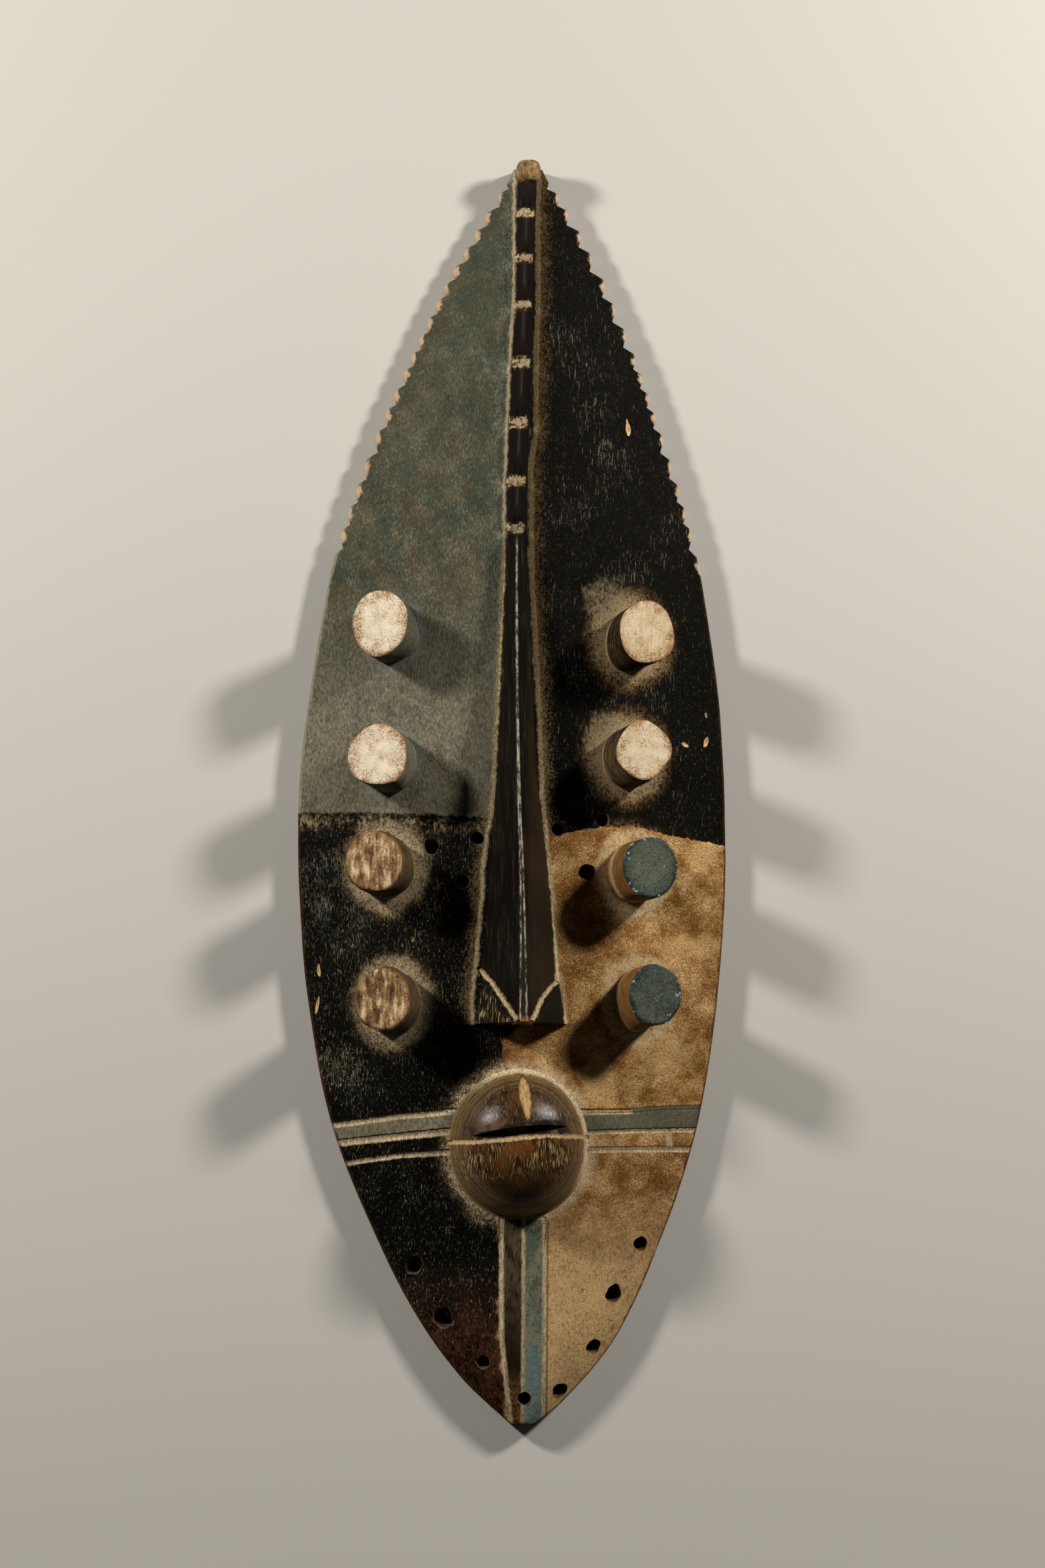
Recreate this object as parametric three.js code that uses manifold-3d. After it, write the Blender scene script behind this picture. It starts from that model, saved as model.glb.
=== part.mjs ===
// A long leaf-shaped face mask, carved from one piece of wood and hollowed behind.
// Millimetres. It lies on the flat rim of its hollow back: +Z is up, out of the face,
// +Y is towards the top of the mask, and +X is the right of the face as it is looked at.
import * as THREE from "three";
import { mergeVertices } from "three/addons/utils/BufferGeometryUtils.js";
import Module from "manifold-3d";

// The board: a convex leaf with a flat back rim
const maskHeight = 700;
const boardTop = 346;
const boardBottom = -350;
const rimThickness = 11;
const fullHalfWidth = 118;
const domeRise = 28;
const domeTaper = 0.8;
const domeRoundness = 1.9;
const wallThickness = 14;
const rimWidth = 11;
const hollowTop = 276;
const hollowBottom = -316;
const hollowEnd = 34;
const hollowStep = 1.5;
const backClearance = 5;

// Edges of the leaf and the line of its crest and nose: height up the mask, then place across it
const leftEdge = curve([
  [350, 3], [340, -2], [330.5, -7.6], [308.7, -20.8], [278.5, -38.1], [230.3, -60.2], [194.5, -75.7],
  [140, -94.9], [106.1, -103], [25.1, -115.5], [-19.2, -118.1], [-63.4, -117], [-115, -112.6],
  [-186.8, -98.6], [-258.6, -69.1], [-298.4, -47], [-326.8, -24.9], [-350, 0],
]);
const rightEdge = curve([
  [350, 15], [341, 19], [330.1, 26], [295.8, 44.4], [238.7, 68.7], [194.2, 83.8], [141.5, 99.7],
  [106.1, 106.7], [43.5, 115.1], [-33.9, 118.1], [-78.1, 116.6], [-137, 110.7], [-192.3, 100.4],
  [-247.6, 82], [-302.8, 56.2], [-337.8, 26.7], [-350, 11],
]);
const ridgeLine = curve([
  [350, 8.8], [290, 6], [232, 4.4], [166, 1.6], [69, 0.7], [-4, 1.4], [-60, 2.9], [-126, 3.4],
  [-194, 3.6], [-350, 5.6],
]);

// Teeth along the upper rim: heights of their tips on each side
const leftTips = [
  339, 330.5, 318.7, 308.7, 298.4, 288.5, 278.5, 269.7, 259, 249, 239.5, 230.3, 218.5, 207.8, 194.5,
  178.3, 165.1, 152.2, 140, 125.6,
];
const rightTips = [
  339, 330.1, 320.5, 308, 295.8, 280.4, 267.1, 252.7, 238.7, 228.4, 217.4, 206.7, 194.2, 179.4, 165.8,
  153.3, 141.5, 124,
];
const tipEndAt = 0.14;
const notchCornerAt = 0.49;
const shoulderAt = 0.72;
const notchSetBack = 1.1;
const shoulderSetBack = 1.4;
const cutterReach = 9;

// The saw-toothed crest over the forehead, and the knob that ends it
const crestTop = 344;
const crestHalfWidth = 5.2;
const crestHeight = 9;
const ridgeStarts = [314, 287.9, 260.8, 228.5, 194.6, 162.2, 135.6];
const facetRun = 3.2;
const valleyHeight = 1.4;
const knob = { x: 8.6, y: 343, z: 19, halfWidth: 6.8, halfLength: 7, halfHeight: 7 };

// The nose: half its width at the board, and the height of its ridge above the board
const noseTip = -131;
const noseHalfWidth = curve([
  [350, 5.2], [136, 6], [107, 7], [70, 9], [33, 10.1], [-6, 12], [-43, 16], [-80, 19], [-117, 22.5], [-131, 25.5],
]);
const noseHeight = curve([[350, 9], [150, 9.5], [136, 11], [70, 18], [-6, 27], [-80, 36], [-131, 42]]);
const nostrilLength = 27;
const nostrilRelief = 1.3;

// Round eye tubes: centre of the face of each, and its width and height
const tubes = [
  { x: -74.1, y: 86.3, width: 30.5, height: 36 },
  { x: -75.6, y: 13.7, width: 32, height: 34 },
  { x: -77.1, y: -44.1, width: 32, height: 34.4 },
  { x: -72.5, y: -118.2, width: 31.8, height: 34.4 },
  { x: 71.4, y: 81.5, width: 30.5, height: 34.4 },
  { x: 69.2, y: 16.6, width: 30, height: 33 },
  { x: 72.5, y: -46.7, width: 29.5, height: 33.6 },
  { x: 75.8, y: -116.4, width: 28.8, height: 34 },
];
const tubeLength = 34;
const tubeSplay = 6.8;
const tubeLift = 1.4;
const tubeRoot = 9;
const tubeEdge = 1.2;

// The ball of the mouth, its slit and the groove above the slit
const mouth = { x: 2.7, y: -196.6, halfWidth: 38, halfLength: 41, height: 31, sink: 3 };
const slit = { x: 2.2, width: 50, height: 6.4, depth: 8, rise: 2.6, lift: 8.5 };
const groove = { x: 5.6, lean: 1.6, width: 6.8, top: 36, bottom: 8.3, depth: 1.8 };

// Round holes: height up the mask, place across it, and diameter
const peepHoles = [
  [-34.2, -45.4, 8], [-29.8, -19.9, 6.2], [-53.3, -28.1, 6.8],
  [-24.7, 23.6, 6.2], [-19.2, 48.8, 6.8], [-47.9, 39.5, 8],
];
const lashingHoles = [
  [-262.2, -54.2, 9], [-290.8, -38, 11], [-315.1, -16.3, 7], [-335.2, 6.2, 7],
  [-250.6, 69.9, 7], [-277.8, 55.1, 8.5], [-306.5, 44.4, 7.5], [-330.8, 26, 7.5],
];

// A smooth line through named points, as a function of the height up the mask
function curve(points) {
  const sorted = [...points].sort((a, b) => a[0] - b[0]);
  const slope = (i) => {
    const before = sorted[Math.max(i - 1, 0)];
    const after = sorted[Math.min(i + 1, sorted.length - 1)];
    return (after[1] - before[1]) / (after[0] - before[0]);
  };
  return (y) => {
    let i = 0;
    while (i < sorted.length - 2 && y > sorted[i + 1][0]) i += 1;
    const span = sorted[i + 1][0] - sorted[i][0];
    const t = THREE.MathUtils.clamp((y - sorted[i][0]) / span, 0, 1);
    const keep = 2 * t ** 3 - 3 * t ** 2 + 1;
    const leave = (t ** 3 - 2 * t ** 2 + t) * span * slope(i);
    const arrive = (t ** 3 - t ** 2) * span * slope(i + 1);
    return keep * sorted[i][1] + (1 - keep) * sorted[i + 1][1] + leave + arrive;
  };
}

// Place across the leaf from -1 at its left edge to 1 at its right edge, 0 on the ridge line
function across(x, y) {
  const middle = ridgeLine(y);
  const edge = x < middle ? leftEdge(y) : rightEdge(y);
  return (x - middle) / Math.abs(edge - middle);
}

function riseAt(y) {
  const halfWidth = (rightEdge(y) - leftEdge(y)) / 2;
  return domeRise * (halfWidth / fullHalfWidth) ** domeTaper;
}

// Height of the front of the board
function boardFront(x, y) {
  const side = Math.min(Math.abs(across(x, y)), 1);
  return rimThickness + riseAt(y) * (1 - side ** domeRoundness);
}

// Height of the flank of the crest and nose
function flank(x, y) {
  const base = Math.max(noseHalfWidth(y), crestHalfWidth);
  const middle = ridgeLine(y);
  const off = Math.min(Math.abs(x - middle) / base, 1);
  return boardFront(x, y) + noseHeight(y) * (1 - off);
}

// A box with its corners and steps moved by a function: the way to shape each carved form
function shaped(columns, rows, place) {
  const box = new THREE.BoxGeometry(2, 2, 2, columns, rows, 1);
  const at = box.attributes.position;
  for (let i = 0; i < at.count; i += 1) {
    at.setXYZ(i, ...place(at.getX(i), at.getY(i), at.getZ(i) > 0));
  }
  return box;
}

function between(low, high, t) {
  return low + (high - low) * (t + 1) / 2;
}

const wasm = await Module();
wasm.setup();

function solid(geometry) {
  geometry.deleteAttribute("normal");
  geometry.deleteAttribute("uv");
  const merged = mergeVertices(geometry, 1e-3);
  return new wasm.Manifold(new wasm.Mesh({
    numProp: 3,
    vertProperties: new Float32Array(merged.attributes.position.array),
    triVerts: new Uint32Array(merged.index.array),
  }));
}

// The full leaf before it is hollowed
function board() {
  return solid(shaped(14, 54, (u, v, front) => {
    const y = between(boardBottom, boardTop, v);
    const middle = ridgeLine(y);
    const edge = u < 0 ? leftEdge(y) : rightEdge(y);
    const x = middle + (edge - middle) * Math.abs(u);
    return [x, y, front ? boardFront(x, y) : 0];
  }));
}

// Room for the wearer's face: the inside follows the outside, one wall's thickness below it
function hollow() {
  const inset = (edge, y) => rimWidth * Math.hypot(1, (edge(y + 2) - edge(y - 2)) / 4);
  return solid(shaped(10, 36, (u, v, ceiling) => {
    const y = between(hollowBottom, hollowTop, Math.sin(v * Math.PI / 2));
    const middle = ridgeLine(y);
    const reach = u < 0
      ? leftEdge(y) + inset(leftEdge, y) - middle
      : rightEdge(y) - inset(rightEdge, y) - middle;
    const toEnd = Math.min(hollowTop - y, y - hollowBottom) / hollowEnd;
    const rounded = toEnd < 1 ? Math.sqrt(1 - (1 - toEnd) ** 2) : 1;
    const x = middle + reach * Math.abs(u) * Math.max(rounded, 0.08);
    return [x, y, ceiling ? Math.max(boardFront(x, y) - wallThickness, hollowStep) : -backClearance];
  }));
}

// Stepped notches that leave a row of teeth, all on one side
function rimNotches(edge, tips, outward) {
  return tips.slice(1).map((next, i) => {
    const tip = tips[i];
    const pitch = tip - next;
    const outline = new THREE.Shape([
      new THREE.Vector2(edge(tip) + outward * cutterReach, tip - pitch * tipEndAt),
      new THREE.Vector2(edge(tip), tip - pitch * tipEndAt),
      new THREE.Vector2(edge(tip) - outward * notchSetBack, tip - pitch * notchCornerAt),
      new THREE.Vector2(edge(next) - outward * shoulderSetBack, tip - pitch * shoulderAt),
      new THREE.Vector2(edge(next), next),
      new THREE.Vector2(edge(next) + outward * cutterReach, next),
    ]);
    const cutter = new THREE.ExtrudeGeometry(outline, { depth: 60, bevelEnabled: false });
    cutter.translate(0, 0, -10);
    return solid(cutter);
  });
}

// The roof-shaped ridge that is the crest above and the nose below
function crestAndNose() {
  return solid(shaped(2, 40, (u, v, front) => {
    const y = between(noseTip, crestTop, v);
    const base = Math.max(noseHalfWidth(y), crestHalfWidth);
    const x = ridgeLine(y) + u * base;
    return [x, y, front ? flank(x, y) : boardFront(x, y) - 5];
  }));
}

// Saw-teeth: each one starts with a steep facet and falls to the next one's foot
function crestNotches() {
  const starts = [crestTop + 10, ...ridgeStarts];
  const sideways = new THREE.Matrix4().makeBasis(
    new THREE.Vector3(0, 1, 0), new THREE.Vector3(0, 0, 1), new THREE.Vector3(1, 0, 0),
  );
  return ridgeStarts.map((start, i) => {
    const board = boardFront(ridgeLine(start), start);
    const valley = start + facetRun;
    const run = starts[i] - valley;
    const above = board + crestHeight + 30;
    const outline = new THREE.Shape([
      new THREE.Vector2(valley, board + valleyHeight),
      new THREE.Vector2(valley + run * 0.4, board + crestHeight * 0.72),
      new THREE.Vector2(valley + run * 0.85, board + crestHeight * 1.05),
      new THREE.Vector2(valley + run * 0.85, above),
      new THREE.Vector2(start - facetRun * 2, above),
      new THREE.Vector2(start, board + noseHeight(start) + 0.4),
    ]);
    const cutter = new THREE.ExtrudeGeometry(outline, { depth: 40, bevelEnabled: false });
    cutter.applyMatrix4(sideways);
    cutter.translate(ridgeLine(start) - 20, 0, 0);
    return solid(cutter);
  });
}

// Wings of the nose: low raised fields that narrow upwards on each flank
function nostril(side) {
  return solid(shaped(4, 6, (u, v, front) => {
    const down = between(0.04, 1, -v);
    const y = noseTip + nostrilLength * (1 - down) - 0.1;
    const base = noseHalfWidth(y);
    const inner = base * (1 - down ** 0.75 * 0.88);
    const x = ridgeLine(y) + side * between(inner, base + 0.6, side * u);
    return [x, y, front ? flank(x, y) + nostrilRelief : boardFront(x, y) - 3];
  }));
}

function tube({ x, y, width, height }) {
  const outward = Math.sign(x) * tubeSplay;
  const face = new THREE.Vector3(x, y, 0);
  face.z = boardFront(x - outward, y - tubeLift) + tubeLength;
  const root = new THREE.Vector3(x - outward, y - tubeLift, face.z - tubeLength);
  const axis = face.clone().sub(root).normalize();
  const profile = [
    new THREE.Vector2(0, -tubeLength - tubeRoot),
    new THREE.Vector2(0.5, -tubeLength - tubeRoot),
    new THREE.Vector2(0.5, -tubeEdge),
    new THREE.Vector2(0.5 - tubeEdge / width, 0),
    new THREE.Vector2(0, 0),
  ];
  const stem = new THREE.LatheGeometry(profile, 28);
  stem.rotateX(Math.PI / 2);
  stem.scale(width, height, 1);
  stem.applyQuaternion(new THREE.Quaternion().setFromUnitVectors(new THREE.Vector3(0, 0, 1), axis));
  stem.translate(face.x, face.y, face.z);
  return solid(stem);
}

function mouthBall() {
  const ball = new THREE.SphereGeometry(1, 36, 20);
  const level = boardFront(mouth.x, mouth.y) - mouth.sink;
  ball.rotateX(Math.PI / 2);
  ball.scale(mouth.halfWidth, mouth.halfLength, mouth.height + mouth.sink);
  ball.translate(mouth.x, mouth.y, level);
  const under = new THREE.BoxGeometry(2 * mouth.halfWidth + 4, 2 * mouth.halfLength + 4, 40);
  under.translate(mouth.x, mouth.y, level - 26);
  return solid(ball).subtract(solid(under));
}

// The slit between the lips: an almond that is deepest in the middle
function mouthSlit() {
  const top = boardFront(mouth.x, mouth.y) + mouth.height;
  return solid(shaped(12, 2, (u, v, outside) => {
    const open = 1 - u * u * 0.9;
    const x = slit.x + u * slit.width / 2;
    const middle = mouth.y + slit.lift + u * slit.rise;
    const z = outside ? top + 6 : top - slit.depth - (u * slit.width / 2) ** 2 / 38;
    return [x, middle + v * open * slit.height / 2, z];
  }));
}

// The upright groove over the slit, sunk into the skin of the ball
function lipGroove() {
  const level = boardFront(mouth.x, mouth.y) - mouth.sink;
  const skin = (x, y) => level + (mouth.height + mouth.sink)
    * Math.sqrt(1 - ((y - mouth.y) / mouth.halfLength) ** 2 - ((x - mouth.x) / mouth.halfWidth) ** 2);
  return solid(shaped(2, 8, (u, v, outside) => {
    const y = mouth.y + between(groove.bottom, groove.top, v);
    const x = groove.x + u * groove.width / 2 * (1 - v * v * 0.75) - v * groove.lean;
    const bed = skin(x, y) - groove.depth * (u === 0 ? 1 : 0.4);
    return [x, y, outside ? bed + 20 : bed];
  }));
}

// A hole square to the board where it is
function hole([y, x, diameter]) {
  const step = 1;
  const slopeX = (boardFront(x + step, y) - boardFront(x - step, y)) / (2 * step);
  const slopeY = (boardFront(x, y + step) - boardFront(x, y - step)) / (2 * step);
  const axis = new THREE.Vector3(-slopeX, -slopeY, 1).normalize();
  const drill = new THREE.CylinderGeometry(diameter / 2, diameter / 2, 60, 14);
  drill.rotateX(Math.PI / 2);
  drill.applyQuaternion(new THREE.Quaternion().setFromUnitVectors(new THREE.Vector3(0, 0, 1), axis));
  drill.translate(x, y, boardFront(x, y));
  return solid(drill);
}

function crestKnob() {
  const ball = new THREE.SphereGeometry(1, 16, 10);
  ball.scale(knob.halfWidth, knob.halfLength, knob.halfHeight);
  ball.translate(knob.x, knob.y, knob.z);
  return solid(ball);
}

const joined = [
  crestAndNose().subtract(crestNotches().reduce((all, cut) => all.add(cut))),
  crestKnob(),
  nostril(-1),
  nostril(1),
  ...tubes.map(tube),
  mouthBall(),
].reduce((all, piece) => all.add(piece), board());

const cuts = [
  ...rimNotches(leftEdge, leftTips, -1),
  ...rimNotches(rightEdge, rightTips, 1),
  mouthSlit(),
  lipGroove(),
  ...peepHoles.map(hole),
  ...lashingHoles.map(hole),
];
const carved = cuts.reduce((all, cut) => all.subtract(cut), joined.subtract(hollow()));

function toGeometry(manifold) {
  const mesh = manifold.getMesh();
  const geometry = new THREE.BufferGeometry();
  geometry.setAttribute("position", new THREE.BufferAttribute(new Float32Array(mesh.vertProperties), 3));
  geometry.setIndex(new THREE.BufferAttribute(new Uint32Array(mesh.triVerts), 1));
  geometry.computeVertexNormals();
  return geometry;
}

// The origin is under the middle of the mask, on the plane of its back rim
const geometry = toGeometry(carved);
geometry.computeBoundingBox();
const { min, max } = geometry.boundingBox;
geometry.scale(1, maskHeight / (max.y - min.y), 1);
geometry.translate(-(min.x + max.x) / 2, -(min.y + max.y) / 2, -min.z);

const paintedWood = new THREE.MeshStandardMaterial({ color: 0x4a3b2a, roughness: 0.7, metalness: 0 });
const mask = new THREE.Mesh(geometry, paintedWood);
mask.name = "mask";

const group = new THREE.Group();
group.add(mask);

export default group;
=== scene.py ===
"""A long leaf-shaped face mask: one piece of wood, carved, hollowed behind and painted.

The mask lies on the flat rim of its hollow back. +Z is up, out of the face, +Y is towards the top of the
mask and +X is the right of the face as it is looked at. Lengths are in metres, written as so many MM.
"""

import logging
import math
from contextlib import contextmanager
from dataclasses import dataclass
from enum import Enum, IntEnum
from typing import Callable, Iterable, Iterator

import bpy
import numpy as np
from mathutils import Matrix, Vector, noise

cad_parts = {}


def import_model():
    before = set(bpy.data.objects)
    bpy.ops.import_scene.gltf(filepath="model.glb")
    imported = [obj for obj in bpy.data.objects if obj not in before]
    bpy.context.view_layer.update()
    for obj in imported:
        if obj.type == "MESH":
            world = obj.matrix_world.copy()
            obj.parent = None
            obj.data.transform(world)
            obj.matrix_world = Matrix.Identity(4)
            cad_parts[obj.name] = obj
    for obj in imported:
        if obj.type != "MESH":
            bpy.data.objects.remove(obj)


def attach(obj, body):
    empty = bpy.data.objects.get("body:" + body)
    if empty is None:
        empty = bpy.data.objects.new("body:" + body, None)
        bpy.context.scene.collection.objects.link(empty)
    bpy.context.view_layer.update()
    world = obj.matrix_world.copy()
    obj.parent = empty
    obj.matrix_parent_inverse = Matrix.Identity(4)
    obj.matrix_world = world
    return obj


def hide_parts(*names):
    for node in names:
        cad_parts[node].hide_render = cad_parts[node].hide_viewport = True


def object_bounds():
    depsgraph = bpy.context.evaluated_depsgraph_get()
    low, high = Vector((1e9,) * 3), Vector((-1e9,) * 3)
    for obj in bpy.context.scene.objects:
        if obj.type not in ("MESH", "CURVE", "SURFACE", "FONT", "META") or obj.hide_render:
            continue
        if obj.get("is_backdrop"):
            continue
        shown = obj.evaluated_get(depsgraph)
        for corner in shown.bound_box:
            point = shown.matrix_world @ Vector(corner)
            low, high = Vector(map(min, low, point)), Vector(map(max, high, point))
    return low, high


MM = 0.001
LOG = logging.getLogger("mask")
# Short names for the types that come up most
Array = np.ndarray
Piece = bpy.types.Object
Material = bpy.types.Material
Placing = Callable[..., tuple]
Triple = tuple[float, float, float]


class Slot(IntEnum):
    """Material slots of the mask, in the order in which every part of it carries them."""

    FIELD = 0
    NOSE = 1
    MOUTH = 2
    CREAM = 3
    BROWN = 4
    GREEN = 5
    BARE = 6
    RAW = 7


class Cut(Enum):
    """What a tool does to the piece it meets."""

    JOIN = "UNION"
    REMOVE = "DIFFERENCE"


class Curve:
    """A smooth line through named points, as a function of the height up the mask."""

    def __init__(self, *points: tuple[float, float]) -> None:
        """Keep the points in order of height.

        Args:
            points: Height up the mask and the value there, in millimetres.
        """
        self.heights, self.values = np.array(sorted(points)).T * MM
        places = np.arange(len(points))
        before = np.maximum(places - 1, 0)
        after = np.minimum(places + 1, len(points) - 1)
        run = self.heights[after] - self.heights[before]
        self.slopes = (self.values[after] - self.values[before]) / run

    def __call__(self, height: Array) -> Array:
        """Read the line.

        Args:
            height: Heights up the mask.

        Returns:
            The values at those heights.
        """
        i = np.clip(np.searchsorted(self.heights, height) - 1, 0, len(self.heights) - 2)
        span = self.heights[i + 1] - self.heights[i]
        t = np.clip((height - self.heights[i]) / span, 0, 1)
        keep = 2 * t**3 - 3 * t**2 + 1
        bend = (t**3 - 2 * t**2 + t) * self.slopes[i] + (t**3 - t**2) * self.slopes[i + 1]
        return keep * self.values[i] + (1 - keep) * self.values[i + 1] + bend * span


@dataclass(frozen=True)
class Teeth:
    """A row of stepped teeth along one edge of the leaf."""

    outward: int
    tips: tuple[float, ...]
    per_notch: tuple[float, ...]
    tip_end: float = 0.14
    notch_corner: float = 0.49
    shoulder: float = 0.7
    notch_set_back: float = 1.7 * MM
    shoulder_set_back: float = 1.2 * MM
    softness: float = 0.45 * MM

    def heights(self) -> Array:
        """Heights at which the mesh has a row, so that it meets the corners of every tooth."""
        tips = np.array(self.tips) * MM
        parts = [tip - (tip - after) * np.array(self.per_notch) for tip, after in zip(tips, tips[1:])]
        return np.append(np.concatenate(parts), tips[-1])

    def outline(self, edge: Curve, y: Array) -> Array:
        """The toothed edge.

        Args:
            edge: The smooth edge on which the tips of the teeth lie.
            y: Heights up the mask.

        Returns:
            Place of the edge across the mask at those heights.
        """
        points = []
        tips = np.array(self.tips) * MM
        for tip, after in zip(tips, tips[1:]):
            pitch = tip - after
            points += [
                (tip, edge(tip)),
                (tip - pitch * self.tip_end, edge(tip)),
                (tip - pitch * self.notch_corner, edge(tip) - self.outward * self.notch_set_back),
                (tip - pitch * self.shoulder, edge(after) - self.outward * self.shoulder_set_back),
            ]
        points.append((tips[-1], edge(tips[-1])))
        heights, places = np.array(points[::-1]).T
        total = np.zeros_like(y)
        offsets = np.linspace(-1, 1, 5) * self.softness
        for offset in offsets:
            at = y + offset
            inside = (at >= tips[-1]) & (at <= tips[0])
            total += np.where(inside, np.interp(at, heights, places), edge(at))
        return total / len(offsets)


@dataclass(frozen=True)
class Leaf:
    """The form of the board: a convex leaf with a flat back rim and a ridge line down its middle."""

    top: float = 346 * MM
    bottom: float = -350 * MM
    rim: float = 11 * MM
    full_half_width: float = 118 * MM
    dome: float = 28 * MM
    dome_taper: float = 0.8
    dome_roundness: float = 1.9
    left: Curve = Curve(
        (350, 3), (340, -2), (330.5, -7.6), (308.7, -20.8), (278.5, -38.1), (230.3, -60.2), (194.5, -75.7),
        (140, -94.9), (106.1, -103), (25.1, -115.5), (-19.2, -118.1), (-63.4, -117), (-115, -112.6),
        (-186.8, -98.6), (-258.6, -69.1), (-298.4, -47), (-326.8, -24.9), (-350, 0),
    )
    right: Curve = Curve(
        (350, 15), (341, 19), (330.1, 26), (295.8, 44.4), (238.7, 68.7), (194.2, 83.8), (141.5, 99.7),
        (106.1, 106.7), (43.5, 115.1), (-33.9, 118.1), (-78.1, 116.6), (-137, 110.7), (-192.3, 100.4),
        (-247.6, 82), (-302.8, 56.2), (-337.8, 26.7), (-350, 11),
    )
    ridge: Curve = Curve(
        (350, 8.8), (290, 6), (232, 4.4), (166, 1.6), (69, 0.7), (-4, 1.4), (-60, 2.9), (-126, 3.4),
        (-194, 3.6), (-350, 5.6),
    )

    def edge(self, x: Array, y: Array) -> Array:
        """Place across the mask of the edge on the same side as a point."""
        return np.where(x < self.ridge(y), self.left(y), self.right(y))

    def front(self, x: Array, y: Array) -> Array:
        """Height of the face of the board.

        Args:
            x: Places across the mask.
            y: Heights up the mask.

        Returns:
            How high the board stands there over the plane of its rim.
        """
        middle = self.ridge(y)
        side = np.minimum(np.abs((x - middle) / (self.edge(x, y) - middle)), 1)
        half_width = (self.right(y) - self.left(y)) / 2
        rise = self.dome * (half_width / self.full_half_width) ** self.dome_taper
        return self.rim + rise * (1 - side**self.dome_roundness)


@dataclass(frozen=True)
class Nose:
    """The roof-shaped ridge that is a crest over the forehead and a nose below it."""

    leaf: Leaf
    tip: float = -131 * MM
    softness: float = 0.5 * MM
    half_width: Curve = Curve(
        (350, 5.2), (136, 6), (107, 7), (70, 9), (33, 10.1), (-6, 12), (-43, 16), (-80, 19), (-117, 22.5),
        (-131, 25.5), (-145, 24), (-350, 8),
    )
    height: Curve = Curve((350, 9), (150, 9.5), (136, 11), (70, 18), (-6, 27), (-80, 36), (-131, 42))
    flat: Curve = Curve((350, 0.3), (150, 0.3), (100, 0.35), (0, 0.6), (-60, 1.1), (-131, 2))

    def rise(self, x: Array, y: Array) -> Array:
        """Height of the roof over the board, with its ridge worn flat and its foot filled.

        Args:
            x: Places across the mask.
            y: Heights up the mask.

        Returns:
            How far the roof stands over the board there.
        """
        off = np.abs(x - self.leaf.ridge(y))
        slope = self.height(y) / self.half_width(y)
        roof = slope * (self.half_width(y) - off)
        crown = slope * (self.half_width(y) - self.flat(y))
        worn = (roof + crown - np.hypot(roof - crown, self.softness)) / 2
        filled = (worn + np.hypot(worn, self.softness)) / 2
        fade = np.clip(1 - (off - self.half_width(y)) / (3 * MM), 0, 1)
        return filled * fade


@dataclass(frozen=True)
class Mouth:
    """The round mouth: a polished ball in a filled corner, its slit, lip line and upright groove."""

    leaf: Leaf
    x: float = 2.7 * MM
    y: float = -196.6 * MM
    half_width: float = 36.2 * MM
    half_length: float = 39.2 * MM
    height: float = 31 * MM
    fillet: float = 2.6 * MM
    fillet_share: float = 0.16
    sunk: float = 1 * MM
    segments: int = 112
    rings: int = 56

    def shell(self, along: Array, turn: Array) -> tuple[Array, Array, Array]:
        """The skin of the ball, from its foot on the board to its pole.

        Args:
            along: 0 at the foot to 1 at the pole.
            turn: Direction from the middle of the ball.

        Returns:
            The x, y and z of the skin there.
        """
        level = self.leaf.front(self.x, self.y)
        low = along < self.fillet_share
        corner = np.clip(along / self.fillet_share, 0, 1) * math.pi / 2
        climb = np.clip((along - self.fillet_share) / (1 - self.fillet_share), 0, 1) * math.pi / 2
        spread = np.where(low, 1 + self.fillet * (1 - np.sin(corner)) / self.half_width, np.cos(climb))
        x = self.x + self.half_width * spread * np.cos(turn)
        y = self.y + self.half_length * spread * np.sin(turn)
        lift = np.where(low, self.fillet * (1 - np.cos(corner)), self.fillet)
        board = self.leaf.front(x, y)
        share = np.sin(climb)
        dome = (self.height - self.fillet) * share
        return x, y, lift + board * (1 - share) + level * share + dome

    def skin(self, x: Array, y: Array) -> Array:
        """Height of the ball over a place, or of the board where there is no ball.

        Args:
            x: Places across the mask.
            y: Heights up the mask.

        Returns:
            The heights there.
        """
        reach = np.hypot((x - self.x) / self.half_width, (y - self.y) / self.half_length)
        share = np.sqrt(np.maximum(1 - reach**2, 0))
        board = self.leaf.front(x, y)
        level = self.leaf.front(self.x, self.y)
        ball = self.fillet + board * (1 - share) + level * share + (self.height - self.fillet) * share
        return np.where(reach < 1, ball, board)

    def build(self) -> Piece:
        """Shape the ball from the upper half of a sphere."""
        piece = sphere(self.segments, self.rings)
        with edited():
            bpy.ops.mesh.bisect(plane_co=(0, 0, 0), plane_no=(0, 0, 1), use_fill=True, clear_inner=True)

        def place(x: Array, y: Array, z: Array) -> tuple:
            """Carry the half sphere's points to the skin of the ball."""
            along = np.arcsin(np.clip(z, 0, 1)) / (math.pi / 2)
            skin_x, skin_y, skin_z = self.shell(along, np.arctan2(y, x))
            return skin_x, skin_y, skin_z - np.where(along < 1e-4, self.sunk, 0)

        return shaped(piece, place)


def deselect() -> None:
    """Leave object mode with nothing selected."""
    if bpy.context.object and bpy.context.object.mode != "OBJECT":
        bpy.ops.object.mode_set(mode="OBJECT")
    bpy.ops.object.select_all(action="DESELECT")


def take(piece: Piece) -> None:
    """Select one piece alone and make it the active one."""
    deselect()
    piece.select_set(True)
    bpy.context.view_layer.objects.active = piece


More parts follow.
